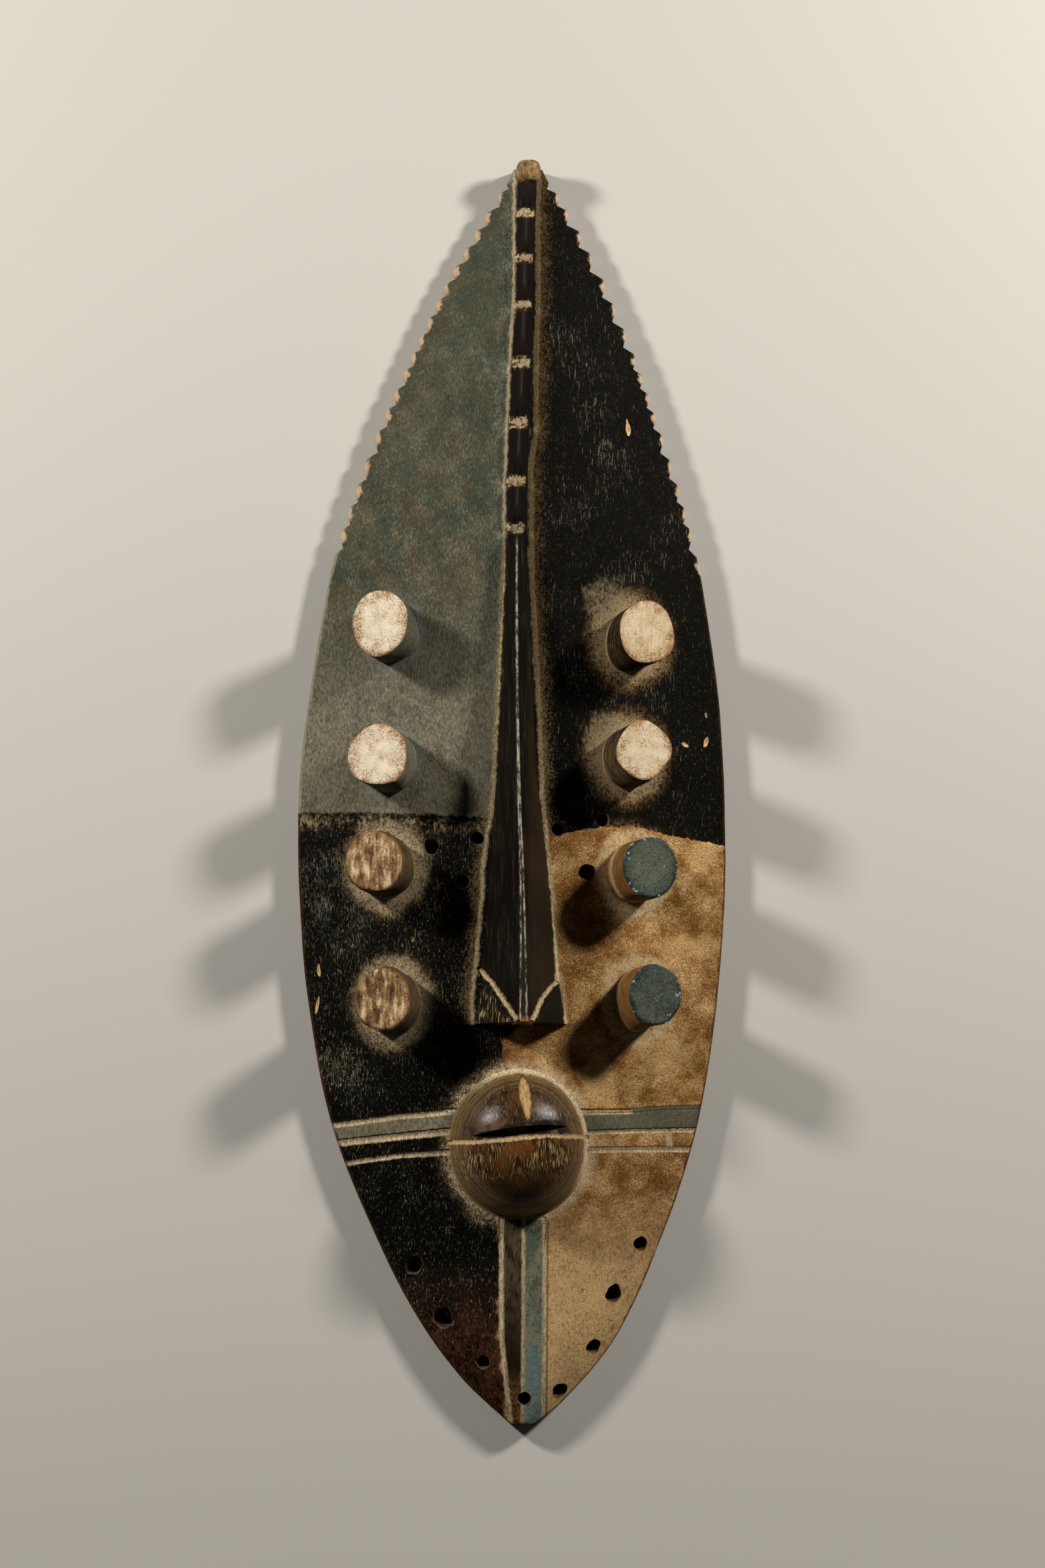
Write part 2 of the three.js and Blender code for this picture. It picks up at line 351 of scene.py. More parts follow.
def read(items: bpy.types.bpy_prop_collection, name: str) -> Array:
    """Read one vector of every point or face of a mesh.

    Args:
        items: The points or faces.
        name: What is read of each.

    Returns:
        Three rows, for x, y and z.
    """
    values = np.empty(len(items) * 3)
    items.foreach_get(name, values)
    return values.reshape(-1, 3).T


def reshape(piece: Piece, place: Placing) -> None:
    """Move every point of a mesh.

    Args:
        piece: The piece to shape.
        place: Gives new x, y and z for arrays of x, y and z.
    """
    moved = place(*read(piece.data.vertices, "co"))
    piece.data.vertices.foreach_set("co", np.stack(moved, axis=1).ravel())
    piece.data.update()


def rough(x: Array, y: Array, z: Array, size: float, seed: float) -> Array:
    """Uneven values from about -1 to 1 at points.

    Args:
        x: First coordinate of the points.
        y: Second coordinate of the points.
        z: Third coordinate of the points.
        size: Size of one unevenness, in the same unit.
        seed: Number that gives each place its own unevenness.

    Returns:
        One value for each point.
    """
    points = np.stack(np.broadcast_arrays(x, y, z), axis=1) / size + seed
    return np.array([noise.noise(Vector(point)) for point in points])


@contextmanager
def edited() -> Iterator[None]:
    """Work on the whole mesh of the active piece in edit mode."""
    bpy.ops.object.mode_set(mode="EDIT")
    bpy.ops.mesh.select_all(action="SELECT")
    yield
    bpy.ops.object.mode_set(mode="OBJECT")


def face_outwards(piece: Piece) -> None:
    """Turn all faces of a closed piece outwards."""
    take(piece)
    with edited():
        bpy.ops.mesh.normals_make_consistent(inside=False)


def shaped(piece: Piece, place: Placing) -> Piece:
    """Move every point of a closed piece and turn its faces outwards.

    Args:
        piece: The piece to shape.
        place: Gives new x, y and z for arrays of x, y and z.

    Returns:
        The same piece.
    """
    reshape(piece, place)
    face_outwards(piece)
    return piece


def dress(piece: Piece, materials: Iterable[Material]) -> None:
    """Give a piece the materials in the order of their slots."""
    for material in materials:
        piece.data.materials.append(material)


def sphere(segments: int, rings: int) -> Piece:
    """A round ball with a radius of one, on the origin.

    Args:
        segments: Faces round it.
        rings: Faces from pole to pole.

    Returns:
        The ball.
    """
    deselect()
    bpy.ops.mesh.primitive_uv_sphere_add(segments=segments, ring_count=rings, radius=1, location=(0, 0, 0))
    return bpy.context.object


def slab(columns: int, rows: int, rings: int = 1) -> Piece:
    """A flat grid with its rim drawn down and closed: the blank for a carved form.

    Args:
        columns: Faces across.
        rows: Faces along.
        rings: Steps in which the rim is drawn down, each one unit high.

    Returns:
        The blank, from -1 to 1 across and along, with the grid at the height given by rings.
    """
    deselect()
    bpy.ops.mesh.primitive_grid_add(x_subdivisions=columns, y_subdivisions=rows, size=2, location=(0, 0, 0))
    blank = bpy.context.object
    with edited():
        bpy.ops.transform.translate(value=(0, 0, rings))
        bpy.ops.mesh.region_to_loop()
        for _ in range(rings):
            bpy.ops.mesh.extrude_edges_move(TRANSFORM_OT_translate={"value": (0, 0, -1)})
        bpy.ops.mesh.edge_face_add()
    return blank


def stem(sides: int, rings: list[tuple[float, float]]) -> Piece:
    """A round form drawn up from a disc, ring by ring.

    Args:
        sides: Sides of the round.
        rings: Radius and height of each ring, from the bottom to the top.

    Returns:
        The closed form, upright on the origin.
    """
    deselect()
    radius, height = rings[0]
    foot = (0, 0, height)
    bpy.ops.mesh.primitive_circle_add(vertices=sides, radius=radius, fill_type="NGON", location=foot)
    round_piece = bpy.context.object
    bpy.ops.object.transform_apply(location=True)
    with edited():
        for (radius, height), (next_radius, next_height) in zip(rings, rings[1:]):
            bpy.ops.mesh.extrude_region_move(TRANSFORM_OT_translate={"value": (0, 0, next_height - height)})
            scale = next_radius / radius
            bpy.ops.transform.resize(value=(scale, scale, 1), center_override=(0, 0, next_height))
    face_outwards(round_piece)
    return round_piece


def turned_to(direction: Vector) -> Matrix:
    """The turn that brings the Z axis to a direction."""
    return Vector((0, 0, 1)).rotation_difference(direction).to_matrix().to_4x4()


def stand(piece: Piece, matrix: Matrix) -> None:
    """Carry a piece to its place and leave its object at the origin.

    Args:
        piece: The piece to carry.
        matrix: Where it goes.
    """
    take(piece)
    piece.matrix_world = matrix
    bpy.ops.object.transform_apply(location=True, rotation=True, scale=True)


def work(target: Piece, tool: Piece, cut: Cut, slot: Slot) -> None:
    """Join a tool to a piece or cut it away.

    Args:
        target: The piece that is worked on.
        tool: The closed form that meets it, which is used up.
        cut: Whether it is joined or removed.
        slot: Material slot of the faces that the tool leaves.
    """
    if len(tool.data.materials) == 0:
        dress(tool, target.data.materials)
        tool.data.polygons.foreach_set("material_index", [slot.value] * len(tool.data.polygons))
    take(target)
    modifier = target.modifiers.new(cut.name.lower(), "BOOLEAN")
    modifier.object = tool
    modifier.operation = cut.value
    modifier.solver = "MANIFOLD"
    bpy.ops.object.modifier_apply(modifier=modifier.name)
    spent = tool.data
    bpy.data.objects.remove(tool)
    bpy.data.meshes.remove(spent)


class Tool:
    """A closed form shaped from a flat slab with a number of columns and rows."""

    columns: int
    rows: int

    def place(self, u: Array, v: Array, layer: Array) -> tuple:
        """Carry the slab's points to the form.

        Args:
            u: Places across the slab, from -1 to 1.
            v: Places along the slab, from -1 to 1.
            layer: Height in the slab, 1 being its face.

        Returns:
            The x, y and z of the points.
        """
        raise NotImplementedError

    def build(self) -> Piece:
        """Shape the form."""
        return shaped(slab(self.columns, self.rows), self.place)


@dataclass(frozen=True)
class Board:
    """The painted board with the crest and nose that rise out of it, before anything is cut."""

    leaf: Leaf
    nose: Nose
    left_teeth: Teeth = Teeth(
        outward=-1,
        tips=(
            339, 330.5, 318.7, 308.7, 298.4, 288.5, 278.5, 269.7, 259, 249, 239.5, 230.3, 218.5, 207.8,
            194.5, 178.3, 165.1, 152.2, 140, 125.6,
        ),
        per_notch=(0, 0.07, 0.14, 0.32, 0.49, 0.6, 0.72, 0.86),
    )
    right_teeth: Teeth = Teeth(
        outward=1,
        tips=(
            339, 330.1, 320.5, 308, 295.8, 280.4, 267.1, 252.7, 238.7, 228.4, 217.4, 206.7, 194.2, 179.4,
            165.8, 153.3, 141.5, 124,
        ),
        per_notch=(0, 0.07, 0.14, 0.26, 0.38, 0.49, 0.6, 0.72, 0.86),
    )
    edge_steps: tuple[float, ...] = (3.4, 2.2, 1.3, 0.6, 0.2, 0)
    edge_roundness: float = 2.4 * MM
    nose_share: float = 0.6
    foot: float = 1.2 * MM
    foot_share: float = 0.05
    calm_inside: float = 7 * MM
    calm_share: float = 0.25
    rim_spread: float = 1.2
    flank_columns: int = 9
    field_columns: int = 36
    nose_rows: int = 116
    chin_rows: int = 96
    tip_rows: int = 6
    tip_slant: float = 0.5 * MM
    chamfer: float = 0.8 * MM
    chamfer_height: float = 1.2 * MM

    def rows(self) -> tuple[Array, Array, Array]:
        """Heights of the mesh's rows.

        Returns:
            The heights at the left edge and at the right edge, and how much of the nose's height is left.
        """
        left = self.left_teeth.heights()
        right = self.right_teeth.heights()
        while len(left) < len(right):
            widest = int(np.argmax(-np.diff(left)))
            left = np.insert(left, widest + 1, (left[widest] + left[widest + 1]) / 2)
        brow = self.leaf.top - np.array((0, 0.2, 0.7, 1.4, 2.4, 4, 5.6)) * MM
        tip = self.nose.tip
        end = tip - np.linspace(0, self.tip_slant, self.tip_rows + 1)
        chin = np.linspace(end[-1], self.leaf.bottom + 3.4 * MM, self.chin_rows)[1:]
        close = self.leaf.bottom + np.array(self.edge_steps[1:]) * MM
        sides = [
            np.concatenate((brow, side, np.linspace(side[-1], tip, self.nose_rows)[1:-1], end, chin, close))
            for side in (left, right)
        ]
        before = len(brow) + len(left) + self.nose_rows - 2
        share = np.zeros(len(sides[0]))
        share[:before] = 1
        share[before:before + len(end)] = np.linspace(1, 0, len(end))
        return *sides, share

    def stations(self, side: int, y: Array) -> Array:
        """Where the mesh's columns run on one side.

        Args:
            side: -1 for the left and 1 for the right.
            y: Heights up the mask.

        Returns:
            One row for each column, from the ridge line to the edge, with its distance from the ridge line.
        """
        middle = self.leaf.ridge(y)
        smooth_edge = self.leaf.left if side < 0 else self.leaf.right
        teeth = self.left_teeth if side < 0 else self.right_teeth
        width = side * (smooth_edge(y) - middle)
        edge = side * (teeth.outline(smooth_edge, y) - middle)
        flat = self.nose.flat(y)
        base = np.minimum(self.nose.half_width(y), width * self.nose_share)
        soft = self.nose.softness
        crown = [np.zeros_like(y), np.maximum(flat - soft, flat * 0.5), flat + 0.1 * soft, flat + soft]
        outside = base + np.minimum(self.foot, width * self.foot_share)
        calm = width - np.minimum(self.calm_inside, width * self.calm_share)

        def lanes(start: Array, end: Array, count: int) -> list[Array]:
            """Evenly spaced columns from a start, which is left out, to an end."""
            return [start + (end - start) * step for step in np.linspace(0, 1, count + 1)[1:]]

        flank = lanes(crown[-1], base - self.foot, self.flank_columns)
        field = lanes(outside, calm, self.field_columns)
        room = np.minimum((edge - calm) / (self.edge_steps[0] * self.rim_spread * MM), 1)
        rim = [edge - step * MM * room for step in self.edge_steps]
        return np.array(crown + flank + [base, outside] + field + rim)

    def build(self) -> Piece:
        """Shape the board.

        Returns:
            The closed board, with its nose and without its hollow.
        """
        left_rows, right_rows, share = self.rows()
        count = len(self.stations(-1, np.zeros(1))) - 1
        piece = slab(2 * count, len(left_rows) - 1, rings=2)

        def place(u: Array, v: Array, layer: Array) -> tuple:
            """Carry the blank's points to the board.

            Args:
                u: Places across the slab, from -1 to 1.
                v: Places along the slab, from -1 to 1.
                layer: Height in the slab, 1 being its face.

            Returns:
                The x, y and z of the points.
            """
            row = np.rint((1 - v) / 2 * (len(left_rows) - 1)).astype(int)
            column = np.rint(np.abs(u) * count).astype(int)
            y = left_rows[row] + (right_rows[row] - left_rows[row]) * (u + 1) / 2
            side = np.where(u < 0, -1, 1)
            off = np.empty_like(y)
            to_edge = np.empty_like(y)
            for one in (-1, 1):
                mine = side == one
                lanes = self.stations(one, y[mine])
                off[mine] = lanes[column[mine], np.arange(mine.sum())]
                to_edge[mine] = lanes[-1] - off[mine]
            to_end = np.minimum(self.leaf.top - y, y - self.leaf.bottom)
            inward = self.edge_roundness
            short = np.hypot(np.maximum(inward - to_edge, 0), np.maximum(inward - to_end, 0))
            drop = inward - np.sqrt(np.maximum(inward**2 - np.minimum(short, inward) ** 2, 0))
            tuck = np.where(layer < 0.5, self.chamfer, 0)
            x = self.leaf.ridge(y) + side * (off - tuck)
            roof = self.nose.rise(x, np.maximum(y, self.nose.tip)) * share[row]
            z = self.leaf.front(x, y) + roof - drop
            z = np.where(layer > 1.5, z, np.where(layer > 0.5, self.chamfer_height, 0))
            ends = np.where(to_end < 0.1 * MM, np.sign(y) * tuck, 0)
            return x, y - ends, z

        return shaped(piece, place)


@dataclass(frozen=True)
class Hollow(Tool):
    """Room for the wearer's face, one wall's thickness under the front and scooped with a gouge."""

    leaf: Leaf
    top: float = 276 * MM
    bottom: float = -316 * MM
    end: float = 34 * MM
    wall: float = 14 * MM
    rim_width: float = 11 * MM
    below: float = 5 * MM
    gouge_width: float = 9 * MM
    gouge_length: float = 42 * MM
    gouge_depth: float = 0.7 * MM
    gouge_wander: float = 23 * MM
    gouge_shift: float = 0.37
    narrowest: float = 0.08
    least_height: float = 0.5 * MM
    lip_drop: float = 0.6 * MM
    side_lip: float = 12
    end_lip: float = 16
    columns: int = 64
    rows: int = 150

    def inset(self, edge: Curve, y: Array) -> Array:
        """The rim's width, measured across the mask."""
        slope = (edge(y + 2 * MM) - edge(y - 2 * MM)) / (4 * MM)
        return self.rim_width * np.hypot(1, slope)

    def place(self, u: Array, v: Array, layer: Array) -> tuple:
        """Carry the slab's points to the hollow.

        Args:
            u: Places across the slab, from -1 to 1.
            v: Places along the slab, from -1 to 1.
            layer: Height in the slab, 1 being its face.

        Returns:
            The x, y and z of the points.
        """
        y = (self.top + self.bottom) / 2 + (self.top - self.bottom) / 2 * np.sin(v * math.pi / 2)
        middle = self.leaf.ridge(y)
        reach = np.where(
            u < 0,
            self.leaf.left(y) + self.inset(self.leaf.left, y) - middle,
            self.leaf.right(y) - self.inset(self.leaf.right, y) - middle,
        )
        to_end = np.clip(np.minimum(self.top - y, y - self.bottom) / self.end, 0, 1)
        rounded = np.sqrt(1 - (1 - to_end) ** 2)
        x = middle + reach * np.abs(u) * np.maximum(rounded, self.narrowest)
        band = np.floor(y / self.gouge_length + 0.3 * np.sin(x / self.gouge_wander))
        phase = x / self.gouge_width + band * self.gouge_shift
        scoop = np.abs(np.sin(math.pi * phase)) * self.gouge_depth
        lip = np.clip((1 - np.abs(u)) * self.side_lip, 0, 1)
        lip = lip * np.clip((1 - np.abs(v)) * self.end_lip, 0, 1)
        under = np.maximum(self.leaf.front(x, y) - self.wall, self.least_height)
        ceiling = (under - scoop + self.gouge_depth) * lip
        return x, y, np.where(layer > 0.5, ceiling - self.lip_drop * (1 - lip), -self.below)


@dataclass(frozen=True)
class Crest:
    """Saw-teeth of the crest: each starts with a steep facet and falls to the next one's foot."""

    leaf: Leaf
    nose: Nose
    top: float = 354 * MM
    starts: tuple[float, ...] = (314, 287.9, 260.8, 228.5, 194.6, 162.2, 135.6)
    facet_run: float = 3.2 * MM
    facet_height: float = 9 * MM
    valley: float = 1.4 * MM
    facet_spare: float = 0.4 * MM
    fall_share: float = 0.85
    fall_rows: int = 24
    overrun: float = 1.15
    steep_from: float = 0.95
    steepness: float = 30
    reach: float = 9 * MM
    ceiling: float = 90 * MM

    def tools(self) -> list[Piece]:
        """The wedges that are cut out over each tooth of the crest."""
        starts = np.array(self.starts) * MM
        above = np.append(self.top, starts[:-1])
        return [self.wedge(start, over) for start, over in zip(starts, above)]

    def wedge(self, start: float, over: float) -> Piece:
        """One wedge.

        Args:
            start: Height up the mask at which the lower tooth starts.
            over: Where the upper tooth starts.

        Returns:
            The tool.
        """
        low = start + self.facet_run
        run = (over - low) * self.fall_share
        facet = np.array([start - self.facet_run, start])
        climb = self.nose.height(start) + self.facet_spare - self.valley
        facet_z = self.valley + (low - facet) / self.facet_run * climb
        share = np.linspace(0, self.overrun, self.fall_rows)
        fall_z = self.valley + (self.facet_height * 1.05 - self.valley) * (1 - (1 - share) ** 2 * (share < 1))
        fall_z += np.maximum(share - self.steep_from, 0) * self.steepness * MM
        ys = np.append(facet, low + run * share)
        zs = np.append(facet_z, fall_z)
        piece = slab(6, len(ys) - 1)

        def place(u: Array, v: Array, layer: Array) -> tuple:
            """Carry the blank's points to the wedge.

            Args:
                u: Places across the slab, from -1 to 1.
                v: Places along the slab, from -1 to 1.
                layer: Height in the slab, 1 being its face.

            Returns:
                The x, y and z of the points.
            """
            row = np.rint((v + 1) / 2 * (len(ys) - 1)).astype(int)
            y = ys[row]
            x = self.leaf.ridge(y) + u * self.reach
            bed = self.leaf.front(self.leaf.ridge(y), y) + zs[row]
            return x, y, np.where(layer > 0.5, bed, self.ceiling)

        return shaped(piece, place)


@dataclass(frozen=True)
class Tube:
    """One round eye tube, carved from the same wood as the board."""

    x: float
    y: float
    width: float
    height: float
    face: Slot
    length: float = 34 * MM
    root: float = 9 * MM
    splay: float = 6.8 * MM
    lift: float = 1.4 * MM
    worn_edge: float = 1.3 * MM
    sides: int = 72
    wobble: float = 1.1 * MM
    squareness: float = 2.15

    def axis(self, leaf: Leaf) -> tuple[Vector, Vector]:
        """Where the tube points.

        Args:
            leaf: The board it grows from.

        Returns:
            The middle of the tube's face and its direction.
        """
        outward = math.copysign(self.splay, self.x)
        floor = float(leaf.front(self.x * MM - outward, self.y * MM - self.lift))
        face = Vector((self.x * MM, self.y * MM, floor + self.length))
        foot = Vector((self.x * MM - outward, self.y * MM - self.lift, floor))
        return face, (face - foot).normalized()

    def build(self, leaf: Leaf, materials: list[Material]) -> Piece:
        """Shape the tube.

        Args:
            leaf: The board it grows from.
            materials: The mask's materials, in the order of their slots.

        Returns:
            The closed tube, in its place.
        """
        edge = self.worn_edge / (self.width * MM)
        wall = [(0.5, height) for height in np.linspace(-self.length - self.root, -1.5 * self.worn_edge, 12)]
        rounding = [
            (0.5 - edge * (1 - math.cos(turn)), -self.worn_edge * (1 - math.sin(turn)))
            for turn in np.radians((0, 22, 45, 68, 90))
        ]
        face_rings = [(0.5 - edge - step, 0) for step in (0.03, 0.09, 0.16, 0.24, 0.32, 0.39)]
        piece = stem(self.sides, wall + rounding + face_rings)
        dress(piece, materials)
        for polygon in piece.data.polygons:
            on_face = polygon.center.z > -0.75 * self.worn_edge and polygon.normal.z > 0.25
            polygon.material_index = (self.face if on_face else Slot.FIELD).value

        def carve(x: Array, y: Array, z: Array) -> tuple:
            """Make the round as uneven as a knife leaves it.

            Args:
                x: First coordinate of the points.
                y: Second coordinate of the points.
                z: Third coordinate of the points.

            Returns:
                The new x, y and z of the points.
            """
            turn = np.arctan2(y, x)
            wobble = rough(np.cos(turn) * 1.1, np.sin(turn) * 1.1, z * 25, 1, self.x) * self.wobble * 2
            radius = np.hypot(x, y) * 2
            power = self.squareness
            corner = np.abs(np.cos(turn + self.y)) ** power + np.abs(np.sin(turn + self.y)) ** power
            square = 0.99 * corner ** (-1 / power)
            dish = rough(x, y, 0, 0.33, self.y) * self.wobble
            onto_face = z > -0.5 * self.worn_edge
            return (
                x * square * self.width * MM + wobble * radius * np.cos(turn),
                y * square * self.height * MM + wobble * radius * np.sin(turn),
                z - np.where(onto_face, np.abs(dish), 0),
            )

        reshape(piece, carve)
        face, direction = self.axis(leaf)
        stand(piece, Matrix.Translation(face) @ turned_to(direction))
        return piece


@dataclass(frozen=True)
class Form:
    """The whole carved face as one height over every place of the mask."""

    leaf: Leaf
    nose: Nose
    mouth: Mouth

    def top(self, x: Array, y: Array) -> Array:
        """Height of the highest wood over a place, the tubes left out.

        Args:
            x: Places across the mask.
            y: Heights up the mask.

        Returns:
            How high the wood stands there over the plane of the rim.
        """
        ridge = np.where(y >= self.nose.tip, self.nose.rise(x, y), 0)
        return np.maximum(self.leaf.front(x, y) + ridge, self.mouth.skin(x, y))

    def upright(self, x: float, y: float) -> Matrix:
        """A frame that stands on the board with its Z axis square to it.

        Args:
            x: Place across the mask.
            y: Height up the mask.

        Returns:
            The frame as a matrix.
        """
        step = 1 * MM
        slope_x = float(self.leaf.front(x + step, y) - self.leaf.front(x - step, y)) / (2 * step)
        slope_y = float(self.leaf.front(x, y + step) - self.leaf.front(x, y - step)) / (2 * step)
        foot = Matrix.Translation((x, y, float(self.leaf.front(x, y))))
        return foot @ turned_to(Vector((-slope_x, -slope_y, 1)))


@dataclass(frozen=True)
class Stroke:
    """A painted or cut line: where it runs and how wide it is at each of its points, in millimetres."""

    points: tuple[tuple[float, float], ...]
    widths: tuple[float, ...]
    step: float = 1.6 * MM
    softening: int = 7

    def run(self) -> tuple[Array, Array, Array]:
        """Places x and y along the line, evenly spaced, and its width there."""
        points = np.array(self.points) * MM
        along = np.append(0, np.cumsum(np.hypot(*np.diff(points, axis=0).T)))
        steps = np.linspace(0, along[-1], max(int(along[-1] / self.step), 6) + 1)
        reach = along[-1] / (len(points) + 1) / 3
        room = np.minimum(np.minimum(steps, along[-1] - steps), reach)
        near = [steps + offset * room for offset in np.linspace(-1, 1, self.softening)]
        x = np.mean([np.interp(at, along, points[:, 0]) for at in near], axis=0)
        y = np.mean([np.interp(at, along, points[:, 1]) for at in near], axis=0)
        return x, y, np.interp(steps, along, np.array(self.widths) * MM)


@dataclass(frozen=True)
class Groove:
    """A shallow line cut along a path, as wide as the paint that fills it."""

    path: Stroke
    depth: float
    across: int = 6
    proud: float = 0.3 * MM
    spare: float = 1.15
    ceiling: float = 95 * MM

    def build(self, form: Form) -> Piece:
        """Shape the tool that cuts the line.

        Args:
            form: The carved face that it is cut into.

        Returns:
            The tool.
        """
        xs, ys, widths = self.path.run()
        run_x, run_y = np.gradient(xs), np.gradient(ys)
        length = np.hypot(run_x, run_y)
        piece = slab(self.across, len(xs) - 1)

        def place(u: Array, v: Array, layer: Array) -> tuple:
            """Carry the blank's points to the groove.

            Args:
                u: Places across the slab, from -1 to 1.
                v: Places along the slab, from -1 to 1.
                layer: Height in the slab, 1 being its face.

            Returns:
                The x, y and z of the points.
            """
            row = np.rint((v + 1) / 2 * (len(xs) - 1)).astype(int)
            wide = widths[row] / 2 * self.spare
            x = xs[row] - run_y[row] / length[row] * u * wide
            y = ys[row] + run_x[row] / length[row] * u * wide
            bed = form.top(x, y) - self.depth * MM * (1 - u**2) + self.proud * u**2
            return x, y, np.where(layer > 0.5, bed, self.ceiling)

        return shaped(piece, place)


@dataclass(frozen=True)
class Slit(Tool):
    """The opening between the lips: an almond that is deepest in the middle."""

    mouth: Mouth
    x: float = 2.2 * MM
    width: float = 50 * MM
    opening: float = 5 * MM
    depth: float = 6 * MM
    rise: float = 2.6 * MM
    lift: float = 6.9 * MM
    ceiling: float = 95 * MM
    columns: int = 44
    rows: int = 8

    def place(self, u: Array, v: Array, layer: Array) -> tuple:
        """Carry the slab's points to the slit.

        Args:
            u: Places across the slab, from -1 to 1.
            v: Places along the slab, from -1 to 1.
            layer: Height in the slab, 1 being its face.

        Returns:
            The x, y and z of the points.
        """
        x = self.x + u * self.width / 2
        half = self.opening / 2 * (1 - 0.92 * np.abs(u) ** 2.2)
        y = self.mouth.y + self.lift + u * self.rise + v * half
        deep = self.depth * (1 - u**2) ** 0.6 * (1 - 0.35 * v**4) + 0.5 * MM
        return x, y, np.where(layer > 0.5, self.mouth.skin(x, y) - deep, self.ceiling)


@dataclass(frozen=True)
class Wing(Tool):
    """A low field on the flank of the nose, over one nostril."""

    leaf: Leaf
    nose: Nose
    side: int
    length: float
    inner_share: float
    relief: float = 1.4 * MM
    under: float = 0.6 * MM
    bevel: float = 1.6 * MM
    floor: float = 30 * MM
    columns: int = 18
    rows: int = 22

    def place(self, u: Array, v: Array, layer: Array) -> tuple:
        """Carry the slab's points to the field.

        Args:
            u: Places across the slab, from -1 to 1.
            v: Places along the slab, from -1 to 1.
            layer: Height in the slab, 1 being its face.

        Returns:
            The x, y and z of the points.
        """
        down = 0.05 + 0.95 * (1 - v) / 2
        y = self.nose.tip + self.length * (1 - down) - 0.1 * MM
        outer = self.nose.half_width(y) + 0.4 * MM
        inner = outer * (1 - down**0.75 * self.inner_share)
        off = inner + (outer - inner) * (1 + self.side * u) / 2
        x = self.leaf.ridge(y) + self.side * off
        raised = np.clip(np.minimum(off - inner, outer - off) / self.bevel, 0, 1)
        skin = self.leaf.front(x, y) + self.nose.rise(x, np.maximum(y, self.nose.tip))
        field_top = skin - self.under + raised * (self.relief + self.under)
        return x, y, np.where(layer > 0.5, field_top, self.floor)


@dataclass(frozen=True)
class Hole:
    """A burnt or drilled hole, square to the board, with a worn lip; sizes in millimetres."""

    x: float
    y: float
    diameter: float
    stretch: float = 1.0
    turn: float = 0.0
    lip: float = 0.9
    depth: float = 40
    sides: int = 32

    def build(self, form: Form) -> Piece:
        """Shape the tool that makes the hole.

        Args:
            form: The form of the board.

        Returns:
            The closed tool.
        """
        radius = self.diameter / 2
        profile = (
            (radius, -self.depth), (radius, -2.4), (radius + 0.12 * self.lip, -1.2),
            (radius + 0.45 * self.lip, -0.3), (radius + 1.2 * self.lip, 0.7), (radius + 1.5 * self.lip, 3),
        )
        piece = stem(self.sides, [(wide * MM, high * MM) for wide, high in profile])

        def chip(x: Array, y: Array, z: Array) -> tuple:
            """Make the round uneven, most of all at its lip."""
            uneven = 1 + rough(x, y, z, 4 * MM, self.x) * np.where(z > -2 * MM, 0.28, 0.1)
            return x * uneven, y * self.stretch * uneven, z

        reshape(piece, chip)
        turn = Matrix.Rotation(math.radians(self.turn), 4, "Z")
        stand(piece, form.upright(self.x * MM, self.y * MM) @ turn)
        return piece


@dataclass(frozen=True)
class Scoop:
    """A shallow chip or dent in the face; sizes in millimetres."""

    x: float
    y: float
    width: float
    length: float
    depth: float
    turn: float = 0.0
    slot: Slot = Slot.FIELD

    def build(self, form: Form) -> Piece:
        """Shape the tool that takes the chip out.

        Args:
            form: The form of the board.

        Returns:
            The closed tool.
        """
        piece = sphere(segments=28, rings=16)

        def ragged(x: Array, y: Array, z: Array) -> tuple:
            """Break up the round edge."""
            uneven = 1 + rough(x, y, z, 0.7, self.x) * 0.4
            return x * uneven, y * uneven, z

        reshape(piece, ragged)
        tall = max(self.depth * 2.5, 1.5)
        over = Matrix.Translation((0, 0, (tall - self.depth) * MM))
        size = Matrix.Diagonal((self.width * 0.8 * MM, self.length * 0.8 * MM, tall * MM, 1))
        turn = Matrix.Rotation(math.radians(self.turn), 4, "Z")
        stand(piece, form.upright(self.x * MM, self.y * MM) @ turn @ over @ size)
        return piece


@dataclass(frozen=True)
class Knob:
    """The worn block that ends the crest."""

    middle: Triple = (8.6, 343, 19)
    half: Triple = (7, 6.6, 7)
    squareness: float = 3.2

    def build(self) -> Piece:
        """Shape the block."""
        piece = sphere(segments=40, rings=24)

        def block(x: Array, y: Array, z: Array) -> tuple:
            """Square the ball up, and wear its corners and its faces.

            Args:
                x: First coordinate of the points.
                y: Second coordinate of the points.
                z: Third coordinate of the points.

            Returns:
                The new x, y and z of the points.
            """
            power = self.squareness
            fat = (np.abs(x) ** power + np.abs(y) ** power + np.abs(z) ** power) ** (-1 / power)
            scale = np.minimum(fat, 1.2) * (0.97 - 0.12 * np.abs(rough(x, y * 0.5, z, 0.6, 2))) * MM
            spots = zip((x, y, z), self.middle, self.half)
            return tuple(middle * MM + at * half * scale for at, middle, half in spots)

        reshape(piece, block)
        return piece


def smooth(value: Array, low: float, high: float) -> Array:
    """0 below low, 1 above high and a soft step between them."""
    t = np.clip((value - low) / (high - low), 0, 1)
    return t * t * (3 - 2 * t)


